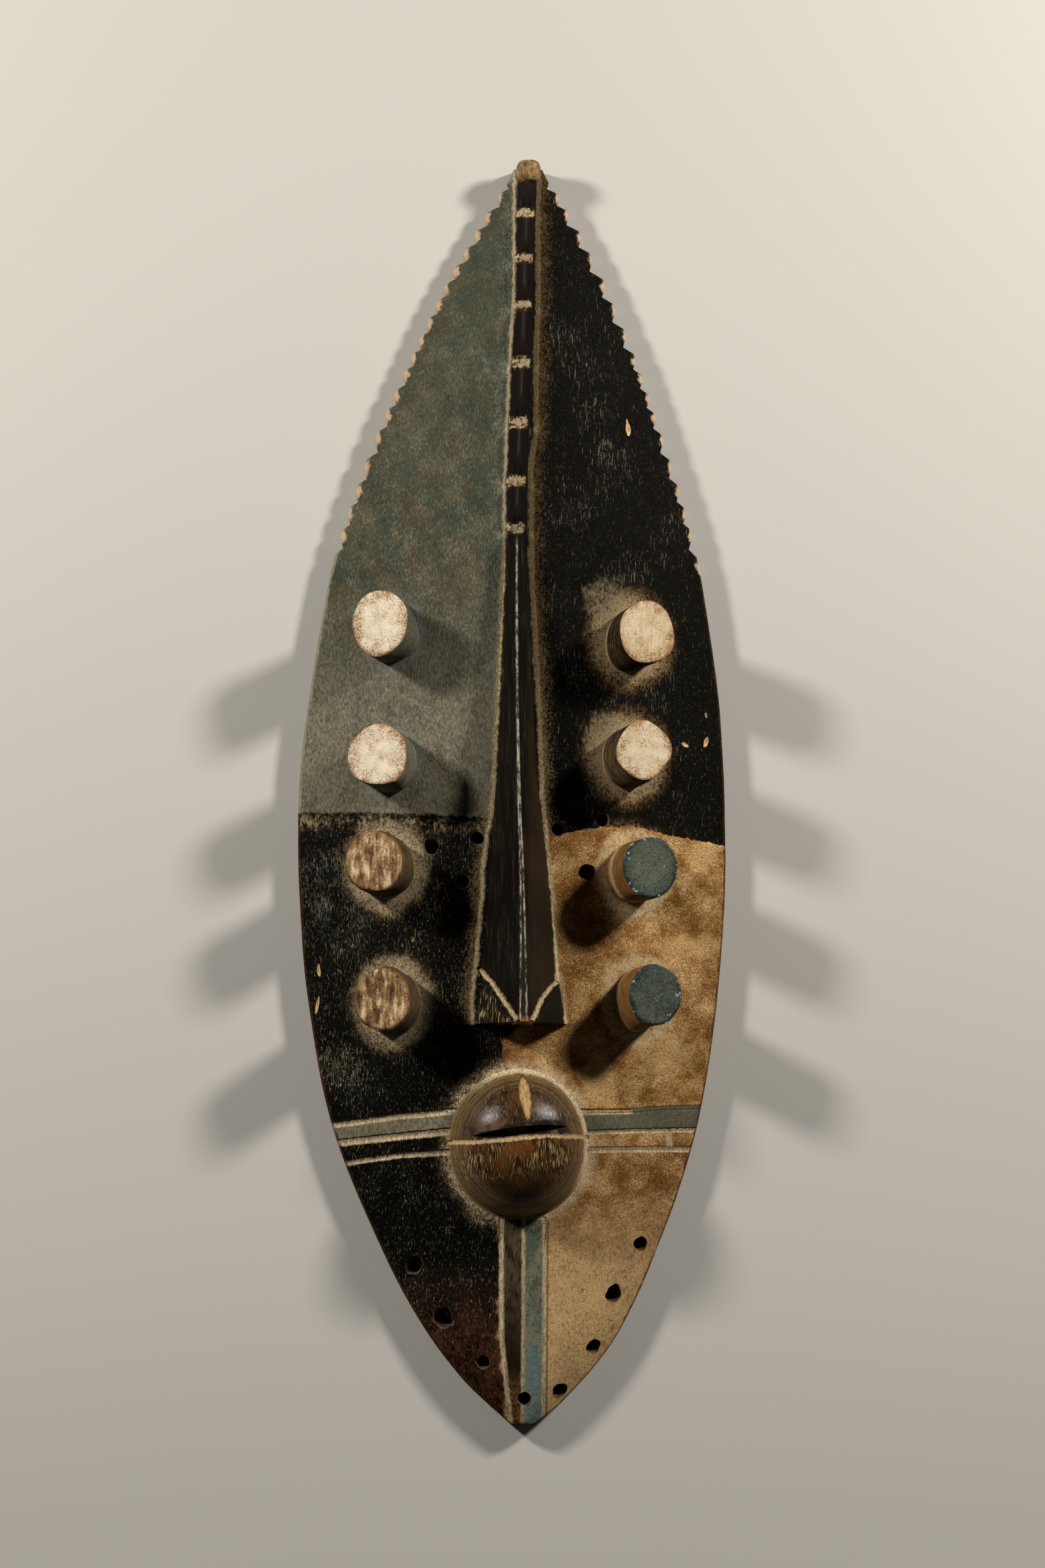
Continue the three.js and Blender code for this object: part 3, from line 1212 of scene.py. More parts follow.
@dataclass(frozen=True)
class Layout:
    """Where the painter's lines run: every painted field as a distance in millimetres from its border."""

    form: Form
    tubes: tuple[Tube, ...]
    left_teeth: Teeth
    right_teeth: Teeth
    crest: Crest
    left_border: tuple = ((-120, -14), (-77.6, -15), (-48.4, -16.6), (-26.5, -17.7), (0, -20))
    right_border: tuple = ((0, -31), (18.4, -29.5), (41.7, -23.8), (65.9, -22.6), (88.7, -27.6), (120, -32))
    division: tuple = ((-350, -2), (-330.1, -3.2), (-301.1, -6.4), (-238, -6.7), (-160, 1), (-154.7, -3.6),
                       (-147.3, -6.2), (-138.9, -4.4), (-131, 3.4), (350, 8.8))
    lip: tuple = ((-38, 0.9), (-23.7, 0.9), (-9.3, 2.0), (5.4, 3.5), (16.6, 4.5), (31.7, 3.9), (42, 4.0))
    groove_middle: tuple = ((-190, 7.6), (-188.2, 7.3), (-171.1, 4.8), (-160.3, 4), (-150, 3.6))
    groove_half: tuple = ((-192, -3), (-189, 0.6), (-178, 2.3), (-170, 3.3), (-163, 2.2), (-159.6, 0),
                          (-157, -3))
    wing_left: tuple = ((-131, 0), (-127.9, -1.5), (-119.7, -6.5), (-109.6, -12.3), (-102, -18.4), (-98, -22))
    wing_right: tuple = ((-131, 8.2), (-127.7, 9.7), (-118.5, 13.8), (-111.3, 19.5), (-108, 23.6))
    wing_slant: float = 0.65
    step_shift: float = 5.4
    top_pitch: float = 16
    nose_left: tuple = ((-131, -22.8), (-114.1, -22.8), (-99.4, -21), (-81.1, -19.5), (-62.7, -17.7),
                        (-44.3, -17), (-7.5, -11.8), (29.4, -10), (122, -5.8), (140, -5.4), (162, -5.3),
                        (214, -3.3), (251, -1.3), (270, 0.2), (350, 1))
    nose_right: tuple = ((-131, 28.3), (-117.8, 27.7), (-99.6, 23.2), (-81.1, 22.1), (-62.7, 21),
                         (-44.3, 19.1), (-7.4, 15.1), (29.4, 14), (122, 9.3), (177, 9.4), (196, 12.1),
                         (233, 12.2), (270, 13.5), (326, 13.8), (350, 15))

    def distances(self, x: Array, y: Array, z: Array) -> dict[str, tuple]:
        """Measure every point against the painter's lines.

        Args:
            x: Places across the mask.
            y: Heights up the mask.
            z: Heights over the plane of the rim.

        Returns:
            Three distances in millimetres for each name.
        """
        leaf, nose, mouth = self.form.leaf, self.form.nose, self.form.mouth
        across, up, over = x / MM, y / MM, z / MM
        middle = leaf.ridge(y) / MM
        on_left = across < middle
        border = np.where(on_left, line(across, self.left_border), line(across, self.right_border))
        edge = np.abs(leaf.edge(x, y) / MM - across)
        to_end = np.minimum(leaf.top - y, y - leaf.bottom) / MM
        inside = np.minimum(edge * 0.95, to_end)
        nose_line = np.where(on_left, line(up, self.nose_left) - across, across - line(up, self.nose_right))
        reach = np.hypot((x - mouth.x) / mouth.half_width, (y - mouth.y) / mouth.half_length)
        tube = np.min([self.off_tube(one, x, y, z) for one in self.tubes], axis=0)
        lip = mouth.y / MM + line(across, self.lip)
        groove = line(up, self.groove_half) - np.abs(across - line(up, self.groove_middle))
        off_ridge = np.abs(across - middle)
        height = over - leaf.front(x, y) / MM
        return {
            "zones": (up - border, across - line(up, self.division), inside),
            "bands": (
                self.band(up, [line(across, one) for one in LEFT_BANDS]),
                self.band(up, [line(across, one) for one in RIGHT_BANDS]),
                across - line(up, UPRIGHT_BAND),
            ),
            "feet": (tube, (reach - 1) * mouth.half_length / MM, nose_line),
            "wear": (self.off_teeth(across, up), height, up),
            "face": (up - lip, groove, off_ridge - nose.flat(y) / MM),
            "crest": self.off_crest(x, y),
        }

    def off_teeth(self, across: Array, up: Array) -> Array:
        """Distance from the nearest tip of a tooth, counted shorter up the mask than across it.

        Args:
            across: Places across the mask in millimetres.
            up: Heights up the mask in millimetres.

        Returns:
            The distances in millimetres.
        """
        leaf = self.form.leaf
        tips = [(leaf.left(tip * MM) / MM - 0.9, tip - 0.4) for tip in self.left_teeth.tips[1:-1]]
        tips += [(leaf.right(tip * MM) / MM + 0.4, tip - 0.6) for tip in self.right_teeth.tips[1:]]
        return np.min([np.hypot(across - tip_x, (up - tip_y) * 0.75) for tip_x, tip_y in tips], axis=0)

    def off_crest(self, x: Array, y: Array) -> tuple[Array, Array, Array]:
        """Where a point is on the crest and the nose.

        Args:
            x: Places across the mask.
            y: Heights up the mask.

        Returns:
            How near it is to a step, from -1 to 1, and its distances from the wings and from the ridge line.
        """
        up = y / MM
        ridge = self.form.leaf.ridge(y)
        starts = np.array(self.crest.starts[::-1])
        step = np.clip(np.searchsorted(starts, up) - 1, 0, len(starts) - 2)
        pitch = np.append(np.diff(starts), self.top_pitch)[step]
        worn = np.cos((up - starts[step] - self.step_shift) / pitch * 2 * math.pi)
        left = line(up, self.wing_left) - x / MM
        right = x / MM - line(up, self.wing_right)
        return worn, np.where(x < ridge, left, right) * self.wing_slant, (x - ridge) / MM

    @staticmethod
    def band(up: Array, lines: list[Array], pitch: float = 10.6) -> Array:
        """Place across a set of three lines.

        Args:
            up: Heights up the mask.
            lines: Heights of the three lines there, from the upper one down.
            pitch: What lies between two lines in the values returned.

        Returns:
            0 at the upper line and a pitch more at each of the others.
        """
        first, second, third = lines
        between = (first - up) / (first - second) * pitch
        below = pitch + (second - up) / (second - third) * pitch
        return np.where(up > first, first - up, np.where(up > second, between, below))

    def off_tube(self, tube: Tube, x: Array, y: Array, z: Array) -> Array:
        """Distance outwards from the wall of a tube.

        Args:
            tube: The tube.
            x: Places across the mask.
            y: Heights up the mask.
            z: Heights over the plane of the rim.

        Returns:
            The distances in millimetres, less than nothing inside the tube.
        """
        face, axis = tube.axis(self.form.leaf)
        along = (x - face.x) * axis.x + (y - face.y) * axis.y + (z - face.z) * axis.z
        off_x = (x - face.x - along * axis.x) / MM
        off_y = (y - face.y - along * axis.y) / MM
        share = np.hypot(off_x / tube.width, off_y / tube.height) * 2
        return (share - 1) * (tube.width + tube.height) / 4


def line(at: Array, points: tuple) -> Array:
    """Read a bent line, given as places and values, at other places."""
    places, values = np.array(points).T
    return np.interp(at, places, values)


LEFT_BANDS = (
    ((-103, -187), (-80.9, -184.2), (-62.8, -181.8), (-44.6, -180.3), (-36, -179.3)),
    ((-101, -196.4), (-80.9, -194.4), (-62.8, -192.7), (-44.6, -190.9), (-36, -190.2)),
    ((-97, -208), (-80.8, -205.4), (-62.7, -203), (-44.5, -201.9), (-36, -201.4)),
)
RIGHT_BANDS = (
    ((40, -179.7), (64.2, -179.3), (84.8, -177.6), (104, -177)),
    ((40, -190.5), (66.1, -189.5), (103, -188.7)),
    ((40, -200.2), (69.9, -199.6), (101, -199.4)),
)
UPRIGHT_BAND = ((-346, -1.2), (-330.1, -3.2), (-301.1, -6.4), (-271.9, -6.6), (-236, -6.7))


def linear(colour: str) -> tuple[float, float, float, float]:
    """An sRGB colour in hex as a linear colour.

    Args:
        colour: Six hex digits after a number sign.

    Returns:
        Red, green, blue and full opacity.
    """
    shown = [int(colour[place:place + 2], 16) / 255 for place in (1, 3, 5)]
    light = [one / 12.92 if one <= 0.04045 else ((one + 0.055) / 1.055) ** 2.4 for one in shown]
    return *light, 1.0


@dataclass(frozen=True)
class Value:
    """What a finish has at every point of the surface: a distance, a pattern or a mask from 0 to 1."""

    finish: "Finish"
    socket: bpy.types.NodeSocket

    def __mul__(self, other: "Value") -> "Value":
        """Where both of two masks are."""
        return self.finish.add("Math", self, other, operation="MULTIPLY")

    def __add__(self, other: "Value") -> "Value":
        """The sum of two values."""
        return self.finish.add("Math", self, other, operation="ADD")

    def __sub__(self, other: "Value | float") -> "Value":
        """What is left of the value when another is taken off it."""
        return self.finish.add("Math", self, other, operation="SUBTRACT")

    def __invert__(self) -> "Value":
        """Where a mask isn't."""
        return self.finish.add("Math", 1.0, self, operation="SUBTRACT")

    def step(self, level: float, soft: float, below: float, above: float) -> "Value":
        """A soft step from one value to another at a level."""
        ends = (level - soft, level + soft, below, above)
        return self.finish.add("MapRange", self, *ends, interpolation_type="SMOOTHSTEP")

    def above(self, level: float, soft: float, most: float = 1.0) -> "Value":
        """A mask that rises to its most where the value passes a level."""
        return self.step(level, soft, 0.0, most)

    def below(self, level: float, soft: float, most: float = 1.0) -> "Value":
        """A mask that falls away where the value passes a level."""
        return self.step(level, soft, most, 0.0)

    def gathered(self, patch: "Value", share: float = 1.0) -> "Value":
        """A fine pattern that gathers where a broader one is high, or low if the share is negative."""
        return self.finish.add("Math", patch, share, self - share / 2, operation="MULTIPLY_ADD")

    def swing(self, amount: float) -> "Value":
        """A pattern as an unevenness that goes up and down by an amount."""
        return self.finish.add("MapRange", self, 0.2, 0.8, -amount, amount)

    def ragged(self, amount: float, size: float = 3.0) -> "Value":
        """A distance made uneven by some millimetres, as a brush or a worn edge is."""
        return self + self.finish.pattern((size, size * 1.4, size), size, 3.0).swing(amount)

    def stripe(self, middle: float, half: float, soft: float = 0.4) -> "Value":
        """A mask along a line, so many millimetres to either side of its middle."""
        return self.finish.add("Math", self - middle, operation="ABSOLUTE").below(half, soft)


class Finish:
    """A material built up coat by coat over a first one, as its maker and the years laid them on."""

    def __init__(self, name: str, colour: str, roughness: float) -> None:
        """Start a material.

        Args:
            name: Name of the material.
            colour: Colour in hex of what lies under every coat.
            roughness: Its roughness.
        """
        self.material = bpy.data.materials.new(name)
        self.material.use_nodes = True
        self.tree = self.material.node_tree
        self.shader = self.tree.nodes["Principled BSDF"]
        self.colour = linear(colour)
        self.roughness = roughness
        self.relief = 0.0
        self.known = {}
        self.mm = self.add("VectorMath", self.add("TexCoord", out="Object"), 1 / MM, operation="SCALE")

    def add(self, kind: str, *inputs: object, out: int | str = 0, **settings: object) -> Value:
        """Add a node.

        Args:
            kind: Kind of node.
            inputs: Numbers or values for its inputs in order.
            out: The output that is wanted.
            settings: Its settings by name.

        Returns:
            The wanted output.
        """
        node = self.tree.nodes.new("ShaderNode" + kind)
        for name, value in settings.items():
            setattr(node, name, value)
        sockets = [socket for socket in node.inputs if socket.enabled]
        for socket, value in zip(sockets, inputs):
            self.put(value, socket)
        return Value(self, node.outputs[out])

    def put(self, value: object, socket: bpy.types.NodeSocket) -> None:
        """Give a socket its input.

        Args:
            value: A number, or a value that another node works out.
            socket: The socket that takes it.
        """
        if isinstance(value, Value):
            self.tree.links.new(value.socket, socket)
        else:
            socket.default_value = value

    def measure(self, name: str, axis: str) -> Value:
        """A distance in millimetres that the layout left on the mesh.

        Args:
            name: Name of the three distances.
            axis: X, Y or Z for the first, second or third of them.

        Returns:
            The distance.
        """
        if name not in self.known:
            self.known[name] = self.add("Attribute", attribute_name=name, out="Vector")
        return self.add("SeparateXYZ", self.known[name], out=axis)

    def place(self, axis: str) -> Value:
        """The place along one axis in millimetres."""
        return self.add("SeparateXYZ", self.mm, out=axis)

    def pattern(self, size: Triple, seed: float, detail: float = 2.0,
                rough: float = 0.58) -> Value:
        """An uneven pattern in the wood.

        Args:
            size: Size of its patches in millimetres, across, along and into the wood.
            seed: Number that gives the pattern its own places.
            detail: How many finer patterns are laid over it.
            rough: How strong the finer ones are.

        Returns:
            The pattern: about 0.5, seldom 0.2 or 0.8.
        """
        key = (size, seed)
        if key not in self.known:
            scale = tuple(1 / one for one in size)
            at = self.add("Mapping", self.mm, (seed, seed * 1.7, seed * 0.6), (0, 0, 0), scale)
            self.known[key] = self.add("TexNoise", at, 1.0, detail, rough)
        return self.known[key]

    def coat(self, mask: Value, colour: str, roughness: float, thickness: float = 0.0) -> None:
        """Lay a coat of paint, dust or wear over what is there.

        Args:
            mask: Where it lies.
            colour: Its colour in hex.
            roughness: Its roughness.
            thickness: How thick it lies in millimetres, less than nothing where it is worn away.
        """
        self.colour = self.add("MixRGB", mask, self.colour, linear(colour))
        self.roughness = self.add("MapRange", mask, 0.0, 1.0, self.roughness, roughness)
        if thickness:
            self.raise_by(mask, thickness)

    def raise_by(self, mask: Value, height: float) -> None:
        """Raise the surface by some millimetres where a mask says."""
        self.relief = self.add("Math", mask, height, self.relief, operation="MULTIPLY_ADD")

    def done(self, specular: float = 0.5) -> Material:
        """Join all coats to the shader.

        Args:
            specular: How strongly the surface mirrors, half being plain for its refraction.

        Returns:
            The material.
        """
        sockets = self.shader.inputs
        self.put(specular, sockets["Specular IOR Level"])
        self.put(self.colour, sockets["Base Color"])
        self.put(self.roughness, sockets["Roughness"])
        if isinstance(self.relief, Value):
            bump = self.tree.nodes.new("ShaderNodeBump")
            self.put(MM, bump.inputs["Distance"])
            self.put(self.relief, bump.inputs["Height"])
            self.put(Value(self, bump.outputs[0]), sockets["Normal"])
        return self.material


class BoardPaint(Finish):
    """Earth colours on carved wood: grey-green, soot black and ochre clay, with kaolin lines."""

    def __init__(self) -> None:
        """Set out the fields."""
        super().__init__("soot_black_and_earth_paint_on_wood", "#0b0a07", 0.5)
        # Sooty black paint is a little glossy where hands and cloth have worn it, and bare in fine streaks
        # along the grain. Grey-green and ochre are dry, chalky earth coats without gloss. Kaolin is a pale
        # powder that lies thick in the cut lines.
        self.tube = self.measure("feet", "X")
        self.ball = self.measure("feet", "Y")
        self.height = self.measure("wear", "Y")
        self.up = self.measure("wear", "Z")
        self.across = self.place("X")
        self.grain = self.pattern((0.5, 7, 2), 3, 3)
        self.fine = self.pattern((0.8, 1.1, 0.8), 11, 4, 0.7)
        self.fleck = self.pattern((1.5, 2.6, 1.5), 51, 5, 0.75)
        self.patch = self.pattern((9, 15, 9), 5, 3)
        self.broad = self.pattern((30, 38, 30), 8, 2)
        self.border = self.measure("zones", "X")
        upper = self.border.ragged(1.3).above(0, 0.6)
        right = self.measure("zones", "Y").ragged(4, 8).above(0, 2.5)
        self.green_field = upper * ~right
        self.clay_field = ~upper * right
        self.soot_field = ~(self.green_field + self.clay_field)
        self.near_tube = self.tube.ragged(3, 8)
        self.near_ball = self.ball.ragged(4, 8)
        self.flat = self.height.below(4, 2)
        self.wall = self.height.above(2.2, 1.2) * self.tube.below(2.5, 0.5)

    def spot(self, x: float, y: float, wide: float, high: float, most: float = 1) -> Value:
        """A soft uneven patch round a place; sizes in millimetres.

        Args:
            x: Place across the mask.
            y: Height up the mask.
            wide: Half the patch's width.
            high: Half its height.
            most: Its strength.

        Returns:
            The patch as a mask.
        """
        off = self.add("Mapping", self.mm, (-x / wide, -y / high, 0), (0, 0, 0), (1 / wide, 1 / high, 0))
        uneven = self.pattern((6, 6, 6), 77, 4, 0.65).swing(0.55)
        reach = self.add("VectorMath", off, operation="LENGTH", out="Value") + uneven
        return reach.below(0.85, 0.35, most)

    def soot(self) -> None:
        """The black paint, worn along the grain, with painted glints."""
        self.coat(self.grain.gathered(self.patch, 0.6).above(0.53, 0.14, 0.85), "#0a0907", 0.6)
        brown = self.fleck.gathered(self.patch, 0.6).above(0.49, 0.14)
        self.coat(self.up.below(-290, 35) * brown, "#47291a", 0.5)
        self.coat(self.fine.gathered(self.broad, 0.8).above(0.62, 0.12, 0.55), "#101214", 0.7)
        scratch = self.pattern((0.55, 2.8, 0.8), 47, 4, 0.65)
        left = self.across.below(0, 10) * self.up.below(0, 20)
        corner = self.across.below(-85, 14) * self.up.stripe(-55, 30, 15)
        self.coat(corner * scratch.gathered(self.patch, 0.5).above(0.58, 0.06, 0.6), "#4f524c", 0.7)
        self.coat(left * scratch.gathered(self.patch, 0.2).above(0.63, 0.04, 0.85), "#5f5948", 0.7)
        self.coat(left * scratch.gathered(self.broad, 0.25).above(0.68, 0.03, 0.9), "#a39878", 0.75, -0.04)
        self.coat(self.grain.gathered(self.broad, 0.35).above(0.68, 0.04, 0.8), "#6a614c", 0.75, -0.06)
        # Painted glints: tiny pale specks scattered over the black paint.
        self.coat(self.fine.gathered(self.broad, 0.4).above(0.72, 0.03, 0.8), "#7f765c", 0.7)
        self.raise_by(self.grain, 0.22)

    def green(self) -> None:
        """The grey-green paint, mottled with what has worn through and settled on it, and darker towards the
        top as painted shade.
        """
        whole = self.green_field
        hair = self.pattern((0.6, 2.2, 0.6), 57, 4, 0.7)
        stain = self.pattern((12, 15, 12), 61, 4, 0.6)
        self.coat(whole, "#3f3f33", 0.85, 0.08)
        self.coat(whole * self.broad.above(0.48, 0.12, 0.8), "#363a2e", 0.85)
        self.coat(whole * stain.below(0.46, 0.08, 0.75), "#4a4232", 0.85)
        self.coat(whole * stain.above(0.54, 0.07, 0.75), "#383f35", 0.85)
        low = whole * self.up.below(75, 45)
        self.coat(low * self.patch.above(0.43, 0.14, 0.75), "#66614f", 0.85)
        self.coat(whole * self.fleck.gathered(self.broad, -0.4).above(0.58, 0.16, 0.5), "#625c4d", 0.88)
        self.coat(low * self.fleck.gathered(self.patch, 0.4).above(0.54, 0.14, 0.65), "#8a8475", 0.88)
        self.coat(whole * hair.gathered(self.patch, -0.4).above(0.61, 0.09, 0.5), "#8a8372", 0.9, 0.06)
        self.coat(whole * hair.gathered(self.patch, -0.4).below(0.41, 0.09, 0.6), "#24251d", 0.8, -0.05)
        # Painted shade: the field darker towards the top of the mask.
        self.coat(whole * self.up.above(230, 130, 0.5), "#363a2e", 0.8)
        foot = self.near_tube.stripe(2, 1.5, 3) * self.flat
        self.coat(whole * foot * self.patch.above(0.46, 0.08, 0.5), "#67716e", 0.85)
        border = self.border.ragged(1.3)
        under = border.stripe(-1.6, 1.3, 1.2) * self.across.below(0, 4)
        self.coat(under * self.soot_field * self.fine.above(0.4, 0.14), "#0a0806", 0.7)
        dusty = border.stripe(-5, 3, 3) * self.across.below(-12, 4) * self.soot_field
        self.coat(dusty * self.fleck.gathered(self.patch, 0.6).above(0.58, 0.12), "#8b7a5c", 0.85, 0.04)
        self.raise_by(whole * hair, 0.32)
        self.raise_by(whole * self.fleck, 0.25)

    def clay(self) -> None:
        """The ochre clay, thick and gritty, rubbed pale on the high places."""
        whole = self.clay_field
        grit = self.pattern((0.75, 0.9, 0.75), 63, 4, 0.75)
        self.coat(whole, "#895f30", 0.9, 0.2)
        cloud = self.pattern((14, 13, 14), 67, 5, 0.62)
        self.coat(whole * cloud.above(0.5, 0.1, 0.7), "#987143", 0.9)
        self.coat(whole * cloud.below(0.43, 0.08, 0.55), "#754f27", 0.88)
        pale = ((96, -88, 22, 7), (82, -146, 20, 13), (47, -163, 11, 17), (106, -38, 11, 9))
        for x, y, wide, high in pale:
            self.coat(whole * self.spot(x, y, wide, high, 0.75), "#bd9866", 0.92, 0.05)
        dark = ((87, -65, 14, 11), (105, -116, 10, 20), (45, -70, 14, 16), (88, -212, 16, 22))
        for x, y, wide, high in dark:
            self.coat(whole * self.spot(x, y, wide, high, 0.7), "#6f4b23", 0.88)
        self.coat(whole * self.fleck.gathered(cloud, 0.5).above(0.57, 0.14, 0.6), "#ad8654", 0.92, 0.06)
        self.coat(whole * grit.gathered(cloud, 0.5).above(0.6, 0.08, 0.85), "#d3b586", 0.92, 0.06)
        self.coat(whole * grit.gathered(cloud, 0.3).below(0.42, 0.08, 0.8), "#3a240e", 0.9, -0.1)
        self.raise_by(whole * grit, 0.5)
        self.raise_by(whole * self.fleck, 0.3)
        tip = whole * self.up.below(-245, 30) * self.fleck.above(0.43, 0.16, 0.75)
        self.coat(tip, "#cbac7c", 0.9)
        ring = whole * self.flat
        self.coat(ring * self.near_tube.stripe(4, 3.6, 2.6) * self.fleck.above(0.45, 0.14, 0.8),
                  "#c6b088", 0.9, 0.06)
        self.coat(whole * self.near_ball.below(5, 4) * self.fine.above(0.44, 0.12, 0.8), "#c9b799", 0.9,
                  0.05)

    def dust(self) -> None:
        """Pale dust that has settled round the tubes and the mouth on the black paint."""
        mixed = self.fine + self.fleck
        reach = 16
        for distance in (self.near_tube, self.near_ball):
            grains = mixed + self.add("MapRange", distance, 0, reach, 0.5, 0)
            on_board = self.soot_field * self.flat * distance.below(reach * 0.6, reach * 0.4)
            self.coat(on_board * grains.above(1.24, 0.18, 0.8), "#62533c", 0.88, 0.04)
            self.coat(on_board * grains.above(1.42, 0.12, 0.85), "#b3a182", 0.9, 0.05)
        on_board = self.soot_field * self.flat
        warm = on_board * self.across.above(0, 5) * self.near_tube.below(9, 6, 0.6)
        self.coat(warm * mixed.above(0.96, 0.09, 0.9), "#785830", 0.85)
        ring = on_board * self.near_tube.below(6.5, 4) * self.fleck.above(0.43, 0.14, 0.75)
        ring *= ~self.across.above(0, 5, 0.6)
        self.coat(ring, "#6b5f49", 0.88, 0.04)
        self.coat(ring * self.fine.gathered(self.patch, 0.4).above(0.5, 0.08, 0.9), "#b09c7b", 0.9, 0.05)
        self.coat(ring * self.fine.below(0.4, 0.06, 0.8), "#2a2218", 0.8, -0.05)
        for x, y, wide, high in ((52, 101, 14, 13), (50, 28, 12, 12)):
            self.coat(on_board * self.spot(x, y, wide, high) * self.fleck.above(0.47, 0.12, 0.85),
                      "#6b5f49", 0.88, 0.04)
        self.coat(on_board * self.ball.ragged(1.5).below(1.5, 1.5, 0.7), "#6b5537", 0.85)

    def walls(self) -> None:
        """The sides of the tubes, scraped round with a knife."""
        rings = self.pattern((6, 6, 0.9), 71, 3)
        sooty = self.wall * self.soot_field
        clayey = self.wall * self.clay_field
        lower = sooty * self.up.below(20, 15)
        self.coat(sooty, "#1a140c", 0.65)
        self.coat(sooty * rings.above(0.57, 0.1, 0.6), "#65543c", 0.8)
        self.coat(lower * rings.above(0.45, 0.16, 0.55), "#6a583d", 0.8)
        self.coat(clayey, "#6d4a2a", 0.65)
        self.coat(clayey * rings.above(0.53, 0.12, 0.7), "#94703f", 0.8)
        self.coat(clayey * rings.below(0.42, 0.08, 0.6), "#54371e", 0.6)
        low = clayey * self.height.ragged(2).below(8, 2)
        self.coat(low * self.fleck.above(0.42, 0.14, 0.85), "#b89c72", 0.9)
        self.raise_by(self.wall * rings, 0.35)

    def kaolin(self, mask: Value) -> None:
        """Lay kaolin in a line: powdery, worn away in places and paler where it is thick.

        Args:
            mask: Where the line runs.
        """
        kept = mask * self.fleck.above(0.36, 0.12)
        self.coat(kept, "#857356", 0.9, 0.06)
        self.coat(kept * self.fine.gathered(self.grain).above(0.47, 0.15), "#c4b190", 0.92, 0.08)

    def left_bands(self) -> None:
        """Three kaolin lines left of the mouth, with grey-green between the upper two and painted shade along
        the upper edge of each.
        """
        side = self.across.below(-20, 1) * self.border.below(0, 0.5) * self.ball.above(0.3, 0.4)
        band = self.measure("bands", "X").ragged(0.5, 2)
        self.coat(side * band.stripe(5.3, 3.9), "#555546", 0.85, 0.05)
        self.coat(side * band.stripe(5.3, 3.9) * self.fleck.above(0.52, 0.12, 0.8), "#8a7b62", 0.9)
        for middle, half in ((0, 1.2), (10.6, 1.5), (21.2, 1)):
            # Painted shade: a dark line along the upper edge of each groove.
            self.coat(side * band.stripe(middle - half - 0.8, 0.5), "#14100b", 0.7)
            self.kaolin(side * band.stripe(middle, half, 0.7))

    def right_bands(self) -> None:
        """Three thinner lines right of the mouth on clay, with blue-green between the upper two."""
        side = self.across.above(25, 1) * self.border.below(0, 0.5) * self.ball.above(0.3, 0.4)
        band = self.measure("bands", "Y").ragged(0.4, 2)
        higher = self.across.above(65, 1.5)
        top = self.add("MapRange", higher, 0, 1, 0.9, -2.2)
        blue = side * (band - top).above(0, 0.4) * band.below(8.6, 0.4)
        self.coat(side * band.stripe(9, 0.7), "#2b2418", 0.8)
        self.coat(side * band.stripe(-2.2, 0.45), "#33261a", 0.8)
        self.coat(blue, "#4a5146", 0.85, 0.05)
        self.coat(blue * self.fleck.above(0.5, 0.14, 0.8), "#746850", 0.9)
        self.coat(side * band.stripe(19, 0.4), "#553b24", 0.85)
        self.kaolin(side * band.stripe(0, 0.7) * ~higher)
        self.kaolin(side * band.stripe(10.6, 1))
        self.kaolin(side * band.stripe(21.2, 1.3))
        self.kaolin(side * self.across.stripe(86, 1.6) * band.stripe(15.5, 3.6, 0.8))

    def upright_bands(self) -> None:
        """Three upright lines under the mouth, with soot and blue-green between them."""
        under = self.up.below(-237.5, 0.5) * self.ball.above(0.3, 0.4)
        first = self.measure("bands", "Z").ragged(0.4, 2)
        across = self.across.ragged(0.4, 2)
        dark = under * first.above(0, 0.5) * across.below(6.2, 0.5)
        self.coat(dark, "#1f1810", 0.7)
        upper = dark * self.up.above(-285, 45)
        self.coat(upper * self.grain.gathered(self.patch).above(0.46, 0.14, 0.85), "#5c503c", 0.8)
        self.coat(dark * self.up.below(-325, 8) * self.fleck.above(0.48, 0.12), "#6d4d2a", 0.8)
        blue = under * across.stripe(11.1, 4.6, 0.6)
        self.coat(blue, "#4f5649", 0.85, 0.05)
        self.coat(blue * self.up.below(-300, 30), "#657a75", 0.85)
        self.coat(blue * self.fleck.gathered(self.patch).above(0.52, 0.14, 0.7), "#7d7a66", 0.9)
        self.coat(blue * self.fleck.below(0.4, 0.1, 0.7), "#353b34", 0.85)
        for line_place, middle, half in ((first, 0, 1.25), (across, 5.3, 0.9), (across, 16.8, 1.1)):
            self.kaolin(under * line_place.stripe(middle, half, 0.7))
        self.coat(under * across.stripe(18.6, 0.3), "#4a3420", 0.85)

